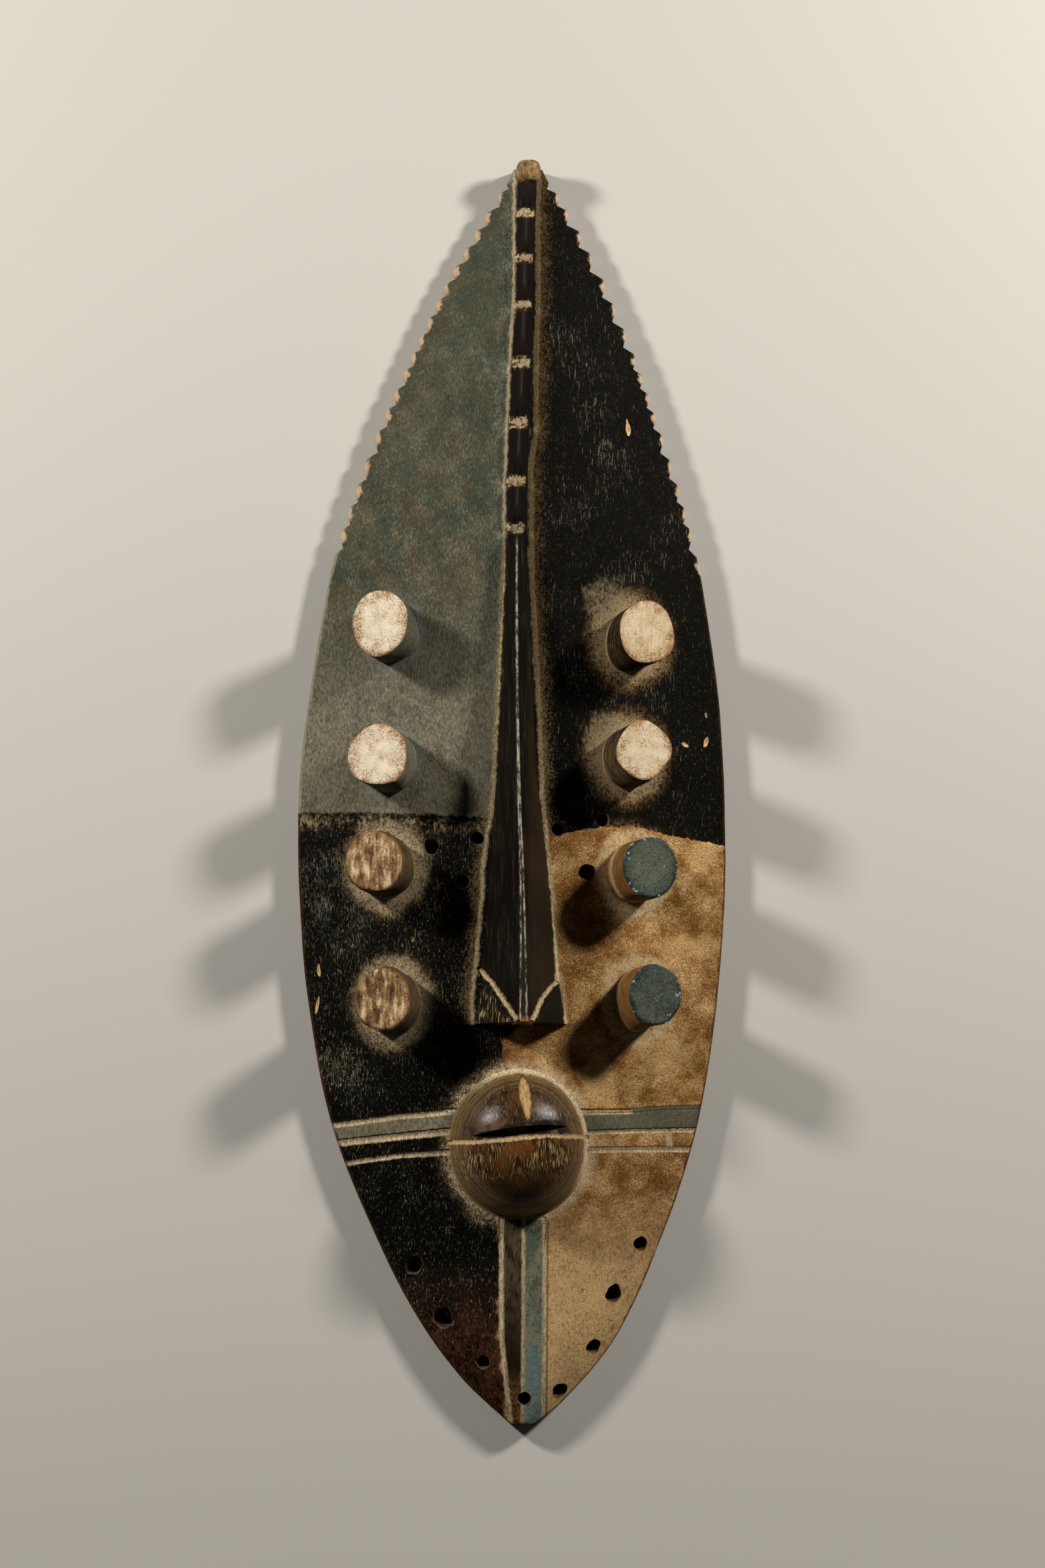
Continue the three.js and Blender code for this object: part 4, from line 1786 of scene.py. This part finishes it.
    def nose_lines(self) -> None:
        """The pale line along each foot of the nose and the crest, and the dust beside it."""
        nose = self.measure("feet", "Z")
        above_mouth = self.up.above(-131.5, 0.5)
        mixed = self.fine + self.fleck
        near = self.add("MapRange", nose.ragged(2, 8), 0.5, 10, 0.34, 0)
        grains = (mixed + near).above(1.24, 0.16, 0.8)
        beside = grains * nose.above(0.5, 0.5) * above_mouth * ~self.clay_field
        higher = self.up.above(10, 50) * self.across.below(5, 5)
        by_crest = self.up.above(60, 50, 0.65) * self.across.above(5, 3)
        self.coat(beside * ~higher * ~by_crest, "#6b5a3d", 0.88, 0.04)
        self.coat(beside * by_crest, "#4a391d", 0.8, 0.04)
        self.coat(beside * higher * self.patch.above(0.3, 0.3, 0.75), "#6f7368", 0.88, 0.04)
        at = nose.ragged(0.9)
        shown = at.stripe(0.1, 0.9, 1.1) * self.height.below(6, 3) * above_mouth
        self.coat(shown * self.fleck.above(0.36, 0.12, 0.9), "#7b6a4b", 0.9, 0.1)
        pale = self.add("MapRange", self.up, -60, 120, 0.48, 0.6)
        self.coat(shown * (self.fine - pale).above(0, 0.14), "#b9a684", 0.92, 0.08)
        self.coat(shown * self.up.above(20, 60, 0.8) * self.across.above(3, 3), "#43361f", 0.85)
        crest_line = self.up.above(140, 15) * self.across.below(5, 3) * at.stripe(0.1, 0.7, 0.5)
        self.coat(crest_line * self.fine.above(0.38, 0.12), "#ad9f85", 0.9)

    def edges(self) -> None:
        """Wood laid bare where hands have held the rim and the teeth, and the top of the grey-green rim
        paler, partly as a painted highlight.
        """
        rim = self.measure("zones", "Z").ragged(0.9)
        held = rim.below(1, 0.6, 0.7) * ~self.green_field
        self.coat(held, "#38240f", 0.5)
        self.coat(held * self.grain.gathered(self.patch, 0.5).above(0.5, 0.12, 0.85), "#1d140b", 0.5)
        self.coat(held * self.fleck.gathered(self.broad, 0.5).above(0.6, 0.08, 0.7), "#5d4222", 0.6)
        side = rim.below(1.2, 0.5) * self.green_field
        self.coat(side * self.fleck.above(0.44, 0.12, 0.8), "#4b4a3b", 0.8)
        self.coat(side * self.grain.gathered(self.patch, 0.6).above(0.56, 0.1, 0.8), "#241c12", 0.6)
        # The top of the grey-green rim: partly paint worn pale, partly a painted highlight along the rounded
        # edge.
        top = self.height.ragged(1.2).above(-2.4, 1.2)
        self.coat(side * top * self.fleck.above(0.36, 0.12, 0.85), "#837f6d", 0.7)
        tip = self.measure("wear", "X").ragged(1.5, 2.5)
        tip -= self.add("MapRange", self.across, -20, 20, 1.1, 0)
        self.coat(tip.below(3.1, 0.6, 0.6), "#3b2e20", 0.6)
        self.coat(tip.below(2.6, 0.6) * self.fine.above(0.36, 0.12), "#8a7054", 0.65)
        self.coat(tip.below(2.2, 0.8) * self.fleck.above(0.4, 0.12, 0.85), "#b5a183", 0.7)

    def build(self) -> Material:
        """Lay all coats."""
        for coats in (self.soot, self.green, self.clay, self.dust, self.walls, self.nose_lines,
                      self.left_bands, self.right_bands, self.upright_bands, self.edges):
            coats()
        return self.done(0.012)


class PolishedSoot(Finish):
    """Oiled and rubbed soot black on the nose and the crest."""

    def build(self) -> Material:
        """Lay all coats."""
        # Soot and oil rubbed to a dull gloss: black with brown showing on the ridge, fine streaks along
        # the grain, and pale dust left in every step of the crest.
        up = self.measure("wear", "Z")
        ridge_edge = self.measure("face", "Z")
        step = self.measure("crest", "X")
        wing = self.measure("crest", "Y")
        off = self.measure("crest", "Z")
        fine = self.pattern((0.8, 1.2, 0.8), 11, 4)
        fleck = self.pattern((1.5, 2.6, 1.5), 51, 5, 0.75)
        grain = self.pattern((0.45, 9, 1.5), 15, 3)
        streak = self.pattern((1.4, 26, 5), 17, 3)
        self.coat(streak.above(0.52, 0.14, 0.7), "#17130d", 0.34)
        self.coat(grain.gathered(streak).above(0.6, 0.1, 0.6), "#201b13", 0.42, -0.03)
        self.coat(grain.gathered(streak, 1.2).above(0.8, 0.06, 0.7), "#4d4638", 0.55, -0.03)
        self.raise_by(grain, 0.12)
        on_crest = up.above(134, 2)
        # Painted sheen: the right flank of the lower nose made a paler brown.
        painted_sheen_flank = self.place("X").above(7, 3) * up.below(40, 60)
        self.coat(painted_sheen_flank * grain.above(0.3, 0.3, 0.8), "#231b11", 0.4)
        self.coat(on_crest * streak.above(0.2, 0.2, 0.8), "#080605", 0.6)
        self.coat(ridge_edge.below(0.3, 0.5, 0.5) * ~on_crest, "#2f271b", 0.26)
        self.coat(ridge_edge.below(0.6, 0.6) * on_crest, "#130e09", 0.55)
        # Painted highlight: pale glints along both edges of the worn flat of the ridge, broken into patches.
        painted_glint_patches = self.pattern((2, 5, 2), 19, 3).above(0.5, 0.12)
        self.coat(ridge_edge.ragged(0.3).stripe(-0.2, 0.4, 0.35) * ~on_crest * painted_glint_patches
                  * grain.above(0.42, 0.12, 0.9), "#aaa291", 0.3)
        worn = ridge_edge.ragged(0.6).below(1.2, 0.8, 0.3) * on_crest
        self.coat(worn * grain.above(0.46, 0.12), "#2c1c12", 0.36)
        below_crest = up.below(-101, 0.5)
        self.coat(below_crest * wing.above(1.3, 0.4), "#12100c", 0.45)
        strokes = (self.pattern((1.1, 7, 1.1), 25, 3).above(0.6, 0.05) * up.below(-114, 6)
                   * self.place("X").below(0, 2))
        self.coat(below_crest * wing.above(2, 0.6) * strokes, "#95805a", 0.85, 0.05)
        at_wing = wing.ragged(0.7).stripe(0, 0.8, 0.6)
        self.coat(below_crest * at_wing, "#6d5c3f", 0.88, 0.05)
        self.coat(below_crest * at_wing * fine.above(0.45, 0.12), "#b7a37c", 0.92, 0.08)
        tip = up.below(-129, 1.5) * ridge_edge.below(1.2, 1)
        self.coat(tip * fine.above(0.45, 0.12, 0.85), "#85592c", 0.45)
        dim = up.above(20, 60) * self.place("X").above(3, 3)
        foot = self.measure("feet", "Z").ragged(0.9).stripe(0.1, 0.9, 0.8) * ~dim
        self.coat(foot * fleck.above(0.36, 0.12, 0.9), "#7b6a4b", 0.9, 0.1)
        pale = self.add("MapRange", up, -60, 120, 0.48, 0.6)
        self.coat(foot * (fine - pale).above(0, 0.14), "#c3b08b", 0.92, 0.08)
        reach = self.add("Math", off, 6.4, operation="DIVIDE")
        reach *= reach
        step += self.pattern((2.4, 2.4, 2.4), 29, 5, 0.7).swing(0.38)
        over = step - self.add("MapRange", reach, 0, 1, 0.83, 0.95)
        here = on_crest * off.below(4.2, 1)
        self.coat(here * over.above(-0.08, 0.08, 0.7), "#33271a", 0.6)
        self.coat(here * over.above(0.03, 0.06), "#7c6847", 0.85, 0.05)
        self.coat(here * over.above(0.08, 0.05) * fine.above(0.42, 0.12), "#ac9a7c", 0.9, 0.05)
        return self.done(0.07)


class MouthPolish(Finish):
    """Dark oiled wood of the mouth, worn to brown and dusted pale round its foot."""

    def build(self) -> Material:
        """Lay all coats."""
        # Hard brown wood darkened with oil: glossy where lips and hands have rubbed it, streaked along the
        # grain, ringed by the tool at its foot, with kaolin in the line under the lip.
        ball = self.measure("feet", "Y")
        lip = self.measure("face", "X")
        groove = self.measure("face", "Y")
        across = self.place("X")
        fine = self.pattern((0.8, 1.2, 0.8), 11, 4)
        grain = self.pattern((0.55, 5, 2), 115, 3)
        patch = self.pattern((9, 12, 9), 117, 3)
        self.coat(patch.above(0.49, 0.12, 0.9), "#1b1209", 0.25)
        self.coat(lip.ragged(3, 8).below(-17, 5, 0.6), "#33230f", 0.4)
        self.coat(grain.gathered(patch, -0.6).above(0.55, 0.12, 0.6), "#4d391d", 0.36)
        self.coat(patch.below(0.47, 0.09, 0.75) * lip.stripe(-3, 9, 7), "#5f3818", 0.34)
        low = lip.ragged(4, 8).stripe(-11, 8, 5) * across.below(30, 16)
        self.coat(grain.gathered(patch, 0.5).above(0.6, 0.06, 0.85) * low, "#ab8c5e", 0.6)
        self.coat(grain.gathered(patch, 0.6).above(0.68, 0.06, 0.8) * lip.above(2, 2), "#8a7048", 0.5)
        self.raise_by(grain, 0.12)
        self.raise_by(patch, 0.3)
        rings = self.add("TexNoise", self.add("CombineXYZ", ball.ragged(0.4), 0, 0), 1.1, 3, 0.6)
        outer = ball.ragged(2, 8).above(-7, 4.5, 0.85)
        self.coat(outer * rings.above(0.5, 0.12), "#715c3c", 0.6)
        self.coat(outer * rings.below(0.42, 0.08), "#271a0d", 0.5)
        self.coat(ball.ragged(1.4, 5).above(-1.4, 1.2, 0.45), "#6f5935", 0.72)
        self.coat(outer * rings.below(0.46, 0.04), "#2d1f10", 0.5)
        bright = ball.ragged(1).above(-1, 1) * (lip + across).above(12, 16)
        self.coat(bright * fine.above(0.45, 0.14, 0.9), "#bba988", 0.9, 0.05)
        # Painted shade: the hollow between the slit and the lip line darkened almost to black.
        inner = lip.ragged(0.8, 5).stripe(4.2, 4.2, 1.4) * across.stripe(2, 27, 7)
        self.coat(inner * ~patch.below(0.46, 0.08, 0.8), "#140a05", 0.9)
        at_lip = lip.ragged(0.8).stripe(0, 1, 0.7)
        self.coat(at_lip, "#80683f", 0.85, 0.05)
        solid = self.add("MapRange", across, -38, 38, 0.36, 0.54)
        self.coat(at_lip * (fine - solid).above(0, 0.12), "#b29a72", 0.88, 0.06)
        leaf = groove.ragged(0.5).above(0.3, 0.6) * lip.above(10.5, 1.5)
        self.coat(leaf * grain.above(0.38, 0.14), "#8c6d42", 0.8)
        self.coat(leaf * grain.above(0.52, 0.12, 0.8), "#a88a5c", 0.85)
        return self.done(0.16)


class TubeFace(Finish):
    """The painted end of an eye tube."""

    def pale(self) -> Material:
        """Kaolin over wood, speckled, with the wood showing through at the rim."""
        # Kaolin rubbed on in a thin dry coat: warm white, pitted with fine brown specks, orange-brown
        # where the edge has lost it; streaked on the upper right one, where the grain comes through.
        tube = self.measure("feet", "X")
        across = self.place("X")
        up = self.place("Y")
        streaky = across.above(0, 1) * up.above(50, 1)
        fine = self.pattern((0.8, 1.1, 0.8), 11, 4, 0.7)
        speck = self.pattern((0.75, 0.85, 0.75), 133, 4, 0.7)
        blotch = self.pattern((6, 7, 6), 135, 3)
        self.coat(blotch.above(0.5, 0.16, 0.45), "#b8a78a", 0.85)
        self.coat(across.above(0, 1, 0.4), "#b09a74", 0.85)
        streaks = self.pattern((1.1, 12, 4), 137, 3).above(0.5, 0.14, 0.5)
        self.coat(streaky * streaks, "#9f8458", 0.8, -0.05)
        near_rim = self.add("MapRange", tube.ragged(2.4), -8, 0, 0, 0.16)
        worn = speck.gathered(blotch, 0.4) + near_rim
        self.coat(worn.above(0.58, 0.12, 0.75), "#92714a", 0.85, -0.05)
        self.coat(worn.above(0.7, 0.08, 0.85), "#60401f", 0.85, -0.06)
        self.coat(fine.gathered(blotch, 0.4).above(0.69, 0.04, 0.8), "#5b3f23", 0.85, -0.06)
        rim = tube.ragged(2.2).above(-0.4, 1.2, 0.8) * fine.above(0.4, 0.14)
        self.coat(rim, "#855527", 0.7)
        self.raise_by(speck, 0.2)
        return self.done(0.2)

    def brown(self) -> Material:
        """Brown wood with what is left of pale paint in streaks along the grain."""
        # Oiled brown wood on which pale paint is left only in broken streaks along the grain.
        tube = self.measure("feet", "X")
        streaks = self.pattern((3, 11, 5), 143, 5, 0.65)
        fine = self.pattern((0.8, 1.1, 0.8), 11, 4, 0.7)
        blotch = self.pattern((6, 8, 6), 147, 3)
        paint = streaks.gathered(blotch, 0.5) + fine.swing(0.12)
        kept = tube.ragged(4, 8).below(-1.5, 2.2)
        self.coat(paint.above(0.45, 0.08, 0.9), "#7b5c33", 0.6)
        self.coat(kept * paint.above(0.52, 0.07), "#987b55", 0.8, 0.06)
        self.coat(kept * paint.above(0.6, 0.08, 0.9), "#c8b392", 0.85, 0.06)
        self.coat(paint.below(0.38, 0.06, 0.8), "#22170b", 0.5)
        self.coat(tube.above(-0.9, 0.5, 0.8), "#2b1b0d", 0.6)
        self.raise_by(paint, 0.4)
        self.raise_by(fine, 0.2)
        return self.done(0.2)

    def green(self) -> Material:
        """A thick grey-green crust, chipped and glossy at its edge, the chips painted pale as glints."""
        # Thick blue-green paint, dull on its face, with small glossy chips along the rim whose pale blue-grey
        # is partly a painted glint.
        tube = self.measure("feet", "X")
        crust = self.pattern((1.2, 1.6, 1.2), 153, 4)
        blotch = self.pattern((5, 6, 5), 155, 4, 0.6)
        self.coat(blotch.above(0.49, 0.08, 0.85), "#28332c", 0.5)
        self.coat(crust.gathered(blotch, -0.4).above(0.55, 0.13, 0.7), "#4c5040", 0.75, 0.05)
        upper = self.place("Y").above(-80, 5)
        middle = tube.ragged(3, 8).below(-5, 3.5)
        self.coat(upper * middle * blotch.above(0.4, 0.12, 0.45), "#5c604e", 0.75)
        self.coat(~upper * blotch.above(0.45, 0.12, 0.5), "#262e28", 0.5)
        self.coat(crust.below(0.42, 0.08, 0.7), "#1b251f", 0.5)
        near_rim = self.add("MapRange", tube.ragged(1.5, 8), -5, 0, 0, 0.13)
        chip = self.pattern((1.1, 1.3, 1.1), 157, 4).gathered(blotch, 1.4)
        # Chips along the rim, partly painted glints: pale blue-grey specks.
        chips_and_glints = (chip + near_rim).above(0.8, 0.04, 0.85)
        self.coat(tube.ragged(1.8).above(-1.8, 1.6, 0.85), "#121b18", 0.35)
        self.coat(chips_and_glints, "#8fa6a8", 0.22, -0.08)
        self.raise_by(crust, 0.4)
        return self.done(0.2)


class BareWood(Finish):
    """Wood without paint."""

    def worn(self) -> Material:
        """Pale worn wood of the knob and of chips."""
        # Dry light hardwood, orange where it is oiled by handling, with fine dark cracks along the grain.
        grain = self.pattern((0.6, 7, 1.5), 163, 3)
        on_knob = self.place("Y").above(333, 1)
        blotch = self.pattern((3, 5, 3), 165, 3)
        self.coat(blotch.above(0.5, 0.12, 0.7), "#a98055", 0.6)
        self.coat(on_knob, "#8a6c42", 0.6)
        self.coat(on_knob * blotch.above(0.48, 0.1, 0.9), "#5c4526", 0.6)
        self.coat(grain.gathered(blotch, 0.4).above(0.64, 0.06, 0.85), "#33230f", 0.7, -0.15)
        self.raise_by(grain, 0.25)
        return self.done(0.3)

    def raw(self) -> Material:
        """Dark raw wood of the hollow and of the holes."""
        # Hardwood left from the gouge and darkened by years of smoke: brown, dull, with open grain.
        grain = self.pattern((0.7, 14, 2), 173, 3)
        self.coat(self.pattern((20, 50, 20), 175, 3).above(0.5, 0.12, 0.8), "#33231a", 0.8)
        self.coat(grain.above(0.57, 0.1, 0.6), "#6b5037", 0.85)
        self.raise_by(grain, 0.25)
        return self.done(0.3)


@dataclass(frozen=True)
class Paints:
    """The finishes of the mask, one for each slot."""

    def mix(self) -> list[Material]:
        """Make the materials in the order of their slots."""
        return [
            BoardPaint().build(),
            PolishedSoot("rubbed_soot_black", "#0b0907", 0.34).build(),
            MouthPolish("oiled_dark_wood", "#38240f", 0.27).build(),
            TubeFace("kaolin_white", "#cdc3ae", 0.85).pale(),
            TubeFace("worn_paint_on_brown_wood", "#543a1e", 0.55).brown(),
            TubeFace("blue_green_paint_crust", "#3a4035", 0.7).green(),
            BareWood("worn_bare_hardwood", "#c9ae84", 0.65).worn(),
            BareWood("raw_hardwood", "#4b3525", 0.8).raw(),
        ]


@dataclass
class Mask:
    """The mask: carved as one piece, then measured out and painted."""

    tubes: tuple[Tube, ...] = (
        Tube(-74.1, 86.3, 30.5, 36, Slot.CREAM),
        Tube(-75.6, 13.7, 32, 34, Slot.CREAM),
        Tube(-77.1, -44.1, 32, 34.4, Slot.BROWN),
        Tube(-72.5, -118.2, 31.8, 34.4, Slot.BROWN),
        Tube(71.4, 81.5, 30.5, 34.4, Slot.CREAM),
        Tube(69.2, 16.6, 30, 33, Slot.CREAM),
        Tube(72.5, -46.7, 29.5, 33.6, Slot.GREEN),
        Tube(75.8, -116.4, 28.8, 34, Slot.GREEN),
    )
    holes: tuple[Hole, ...] = (
        Hole(-45.4, -34.2, 8), Hole(-19.9, -29.8, 6.2), Hole(-28.1, -53.3, 6.8), Hole(23.6, -24.7, 6.2),
        Hole(48.8, -19.2, 6.8), Hole(39.5, -47.9, 8), Hole(-54.2, -262.2, 8, 1.3, -32, 1.4),
        Hole(-38, -290.8, 10.6, 1, 0, 1.7), Hole(-16.3, -315.1, 7), Hole(6.2, -335.2, 7),
        Hole(69.9, -250.6, 7), Hole(55.1, -277.8, 8.5), Hole(44.4, -306.5, 7.5), Hole(26, -330.8, 7.5),
    )
    board_grooves: tuple[tuple[tuple, tuple, float], ...] = (
        (LEFT_BANDS[0], (3, 3, 3, 3, 3), 0.5), (LEFT_BANDS[1], (3.6, 3.6, 3.4, 3.4, 3), 0.5),
        (LEFT_BANDS[2], (2.8, 2.8, 2.8, 2.8, 2.6), 0.5), (RIGHT_BANDS[0], (1.6, 1.6, 1.6, 1.6), 0.3),
        (RIGHT_BANDS[1], (2.2, 2.2, 2.2), 0.4), (RIGHT_BANDS[2], (2.6, 2.6, 2.8), 0.45),
        (tuple((x, y) for y, x in UPRIGHT_BAND), (3.4, 3.4, 3.4, 3.4, 3.4), 0.55),
        (((5.6, -236), (5.9, -272), (4.9, -286.6), (5.1, -315.7), (5.3, -346)), (2.4, 2.4, 2.6, 2.8, 2.6),
         0.5),
        (((16.5, -236), (17, -271.9), (16.8, -301), (16.8, -338)), (2.8, 3, 3, 3), 0.5),
    )
    mouth_grooves: tuple[tuple[tuple, tuple, float], ...] = (
        (((-37, -195.7), (-23.7, -195.7), (-9.3, -194.6), (5.4, -193.1), (16.6, -192.1), (31.7, -192.7),
          (41, -192.6)), (2.4, 3, 3.4, 3.4, 3, 2.6, 2.2), 0.7),
        (((3.8, -159.5), (4.2, -163), (4.8, -170), (5.8, -179), (7.4, -188.6)), (1.6, 5, 6.8, 4.8, 2.2), 1.6),
    )
    wing_grooves: tuple[tuple[tuple, tuple, float], ...] = (
        (((-20, -100), (-18.4, -102), (-12.3, -109.6), (-6.5, -119.7), (-1.5, -127.9), (0.6, -131.6)),
         (2, 2.6, 2.8, 2.8, 2.6, 2.4), 1.5),
        (((23.6, -108), (22.8, -109.6), (19.5, -111.3), (13.8, -118.5), (9.7, -127.7), (7.8, -131.6)),
         (2, 2.4, 2.6, 2.6, 2.4, 2.2), 1.5),
    )
    scoops: tuple[Scoop, ...] = (
        Scoop(63.8, 199.7, 2.2, 7, 0.7, 4, Slot.BARE), Scoop(107.1, 25.7, 2, 4.8, 0.6, -20, Slot.BARE),
        Scoop(95.1, 23.5, 3.4, 1.8, 0.5, -30, Slot.BARE), Scoop(107.1, 40.5, 1.2, 2.6, 0.4, 10, Slot.BARE),
        Scoop(-55.2, 197.4, 6, 4.4, 0.6, 30), Scoop(-48, 190.9, 5, 7, 0.6, -25),
        Scoop(-73.6, 156.3, 9, 3.4, 0.7, 12), Scoop(-84.5, 132.4, 3.6, 6, 0.5, 15),
        Scoop(-106.5, -101.3, 1.5, 6, 0.5, 6, Slot.BARE), Scoop(-107.2, -120, 1.6, 8, 0.5, -14, Slot.BARE),
    )

    def __post_init__(self) -> None:
        """Set out the forms that the parts share."""
        self.leaf = Leaf()
        self.nose = Nose(self.leaf)
        self.mouth = Mouth(self.leaf)
        self.form = Form(self.leaf, self.nose, self.mouth)
        self.board = Board(self.leaf, self.nose)
        self.crest = Crest(self.leaf, self.nose)

    def carve(self, materials: list[Material]) -> Piece:
        """Carve the mask.

        Args:
            materials: Its materials, in the order of their slots.

        Returns:
            The carved mask.
        """
        piece = self.board.build()
        piece.name = "carved_mask"
        dress(piece, materials)
        for wedge in self.crest.tools():
            work(piece, wedge, Cut.REMOVE, Slot.NOSE)
        work(piece, Knob().build(), Cut.JOIN, Slot.BARE)
        for side, length, share in ((-1, 28, 0.86), (1, 22, 0.74)):
            wing = Wing(self.leaf, self.nose, side, length * MM, share)
            work(piece, wing.build(), Cut.JOIN, Slot.NOSE)
        for tube in self.tubes:
            work(piece, tube.build(self.leaf, materials), Cut.JOIN, Slot.FIELD)
        work(piece, self.mouth.build(), Cut.JOIN, Slot.MOUTH)
        work(piece, Hollow(self.leaf).build(), Cut.REMOVE, Slot.RAW)
        work(piece, Slit(self.mouth).build(), Cut.REMOVE, Slot.MOUTH)
        cuts = zip((self.board_grooves, self.mouth_grooves, self.wing_grooves),
                   (Slot.FIELD, Slot.MOUTH, Slot.NOSE))
        for grooves, slot in cuts:
            for points, widths, depth in grooves:
                work(piece, Groove(Stroke(points, widths), depth).build(self.form), Cut.REMOVE, slot)
        for tool in self.holes:
            work(piece, tool.build(self.form), Cut.REMOVE, Slot.RAW)
        for tool in self.scoops:
            work(piece, tool.build(self.form), Cut.REMOVE, tool.slot)
        return piece

    def soften(self, piece: Piece) -> None:
        """Leave the marks of the knife on the front: a slight unevenness all over it.

        Args:
            piece: The carved mask.
        """
        height = read(piece.data.vertices, "co")[2]
        group = piece.vertex_groups.new(name="front")
        for number, share in enumerate(smooth(height, 4 * MM, 9 * MM)):
            if share > 0:
                group.add([number], float(share), "REPLACE")
        for size, strength in ((26, 0.5), (7, 0.16)):
            texture = bpy.data.textures.new("knife_marks", "CLOUDS")
            texture.noise_scale = size * MM
            modifier = piece.modifiers.new("knife_marks", "DISPLACE")
            modifier.texture = texture
            modifier.texture_coords = "LOCAL"
            modifier.strength = strength * MM
            modifier.mid_level = 0.5
            modifier.vertex_group = group.name
            take(piece)
            bpy.ops.object.modifier_apply(modifier=modifier.name)
        piece.vertex_groups.clear()

    def keep_within(self, piece: Piece, box: tuple) -> None:
        """Hold every point inside the solid's own box."""
        reshape(piece, lambda *at: tuple(np.clip(one, low, high) for one, low, high in zip(at, *box)))

    def measure_out(self, piece: Piece) -> None:
        """Leave the painter's distances on the mesh.

        Args:
            piece: The carved mask.
        """
        board = self.board
        layout = Layout(self.form, self.tubes, board.left_teeth, board.right_teeth, self.crest)
        for name, values in layout.distances(*read(piece.data.vertices, "co")).items():
            layer = piece.data.attributes.new(name, "FLOAT_VECTOR", "POINT")
            layer.data.foreach_set("vector", np.stack(values, axis=1).astype(np.float32).ravel())

    def give_slots(self, piece: Piece) -> None:
        """Give the faces of the nose and of the back their slots.

        Args:
            piece: The carved mask.
        """
        faces = piece.data.polygons
        x, y, z = read(faces, "center")
        facing_up = read(faces, "normal")[2]
        slots = np.empty(len(faces), dtype=np.int32)
        faces.foreach_get("material_index", slots)
        field = slots == Slot.FIELD
        off = np.abs(x - self.leaf.ridge(y))
        on_nose = (off < self.nose.half_width(y) - 0.2 * MM) & (y > self.nose.tip - self.board.tip_slant)
        on_nose &= (z > self.leaf.front(x, y) + 0.3 * MM) & field
        under = (facing_up < -0.5) & (z < 2 * MM) & field
        slots[on_nose] = Slot.NOSE
        slots[under] = Slot.RAW
        faces.foreach_set("material_index", slots)
        piece.data.update()

    def build(self, box: tuple) -> Piece:
        """Carve, finish and paint the mask.

        Args:
            box: Lowest and highest corner of the solid.

        Returns:
            The finished mask.
        """
        piece = self.carve(Paints().mix())
        self.soften(piece)
        self.keep_within(piece, box)
        self.measure_out(piece)
        self.give_slots(piece)
        take(piece)
        bpy.ops.object.shade_smooth_by_angle(angle=math.radians(34))
        return piece


@dataclass(frozen=True)
class Studio:
    """A pale floor, two soft lamps from above on either side, and the camera."""

    floor_size: float = 6.0
    floor_colour: str = "#aeaba5"
    lamp_size: float = 0.22
    left_lamp: Triple = (-1.22, 0.68, 0.86)
    right_lamp: Triple = (1.07, 0.75, 0.86)
    lamp_power: float = 30.0
    lamp_colour: Triple = (1.0, 0.96, 0.9)
    fill: float = 0.032
    target: Triple = (6.1, 3.1, 0)
    from_left: float = 2.5
    from_below: float = 4.5
    distance: float = 3.0
    sensor: float = 36.0
    shown_height: float = 0.869

    def floor(self) -> None:
        """Lay the floor."""
        deselect()
        bpy.ops.mesh.primitive_plane_add(size=self.floor_size, location=(0, 0, 0))
        floor = bpy.context.object
        floor.name = "studio_floor"
        # Matt background paper: pale grey, no gloss.
        floor.data.materials.append(Finish("background_paper", self.floor_colour, 0.9).done())
        floor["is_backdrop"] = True

    def lamps(self) -> None:
        """Hang the two lamps and light the room a little from all sides."""
        for name, place in (("left", self.left_lamp), ("right", self.right_lamp)):
            lamp = bpy.data.lights.new(f"{name}_lamp", "AREA")
            lamp.shape = "DISK"
            lamp.size = self.lamp_size
            lamp.energy = self.lamp_power
            lamp.color = self.lamp_colour
            light = bpy.data.objects.new(f"{name}_lamp", lamp)
            bpy.context.collection.objects.link(light)
            turn = Vector(place).to_track_quat("Z", "Y").to_matrix().to_4x4()
            light.matrix_world = Matrix.Translation(place) @ turn
        world = bpy.data.worlds.new("room")
        world.use_nodes = True
        background = world.node_tree.nodes["Background"].inputs
        background["Color"].default_value = (1, 1, 1, 1)
        background["Strength"].default_value = self.fill
        bpy.context.scene.world = world

    def camera(self) -> None:
        """Set up the camera, a little to the left of the mask's middle and below it."""
        lens = bpy.data.cameras.new("camera")
        lens.lens = self.sensor * self.distance / self.shown_height
        lens.sensor_width = self.sensor
        camera = bpy.data.objects.new("camera", lens)
        bpy.context.collection.objects.link(camera)
        slant = (-math.tan(math.radians(self.from_left)), -math.tan(math.radians(self.from_below)), 1)
        away = Vector(slant).normalized()
        right = Vector((0, 1, 0)).cross(away).normalized()
        turn = Matrix((right, away.cross(right), away)).transposed().to_4x4()
        camera.matrix_world = Matrix.Translation(Vector(self.target) * MM + away * self.distance) @ turn
        bpy.context.scene.camera = camera

    def build(self) -> None:
        """Set up the studio."""
        self.floor()
        self.lamps()
        self.camera()
        bpy.context.scene.view_settings.view_transform = "Standard"


def main() -> None:
    """Load the solid, build the mask over it and set up the studio."""
    logging.basicConfig(level=logging.INFO, format="%(message)s")
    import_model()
    solid_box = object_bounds()
    mask = Mask().build(solid_box)
    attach(mask, "root")
    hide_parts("mask")
    LOG.info("carved mask: %d points, %d faces", len(mask.data.vertices), len(mask.data.polygons))
    Studio().build()
    LOG.info("studio: floor, two lamps, camera")


if __name__ == "__main__":
    main()
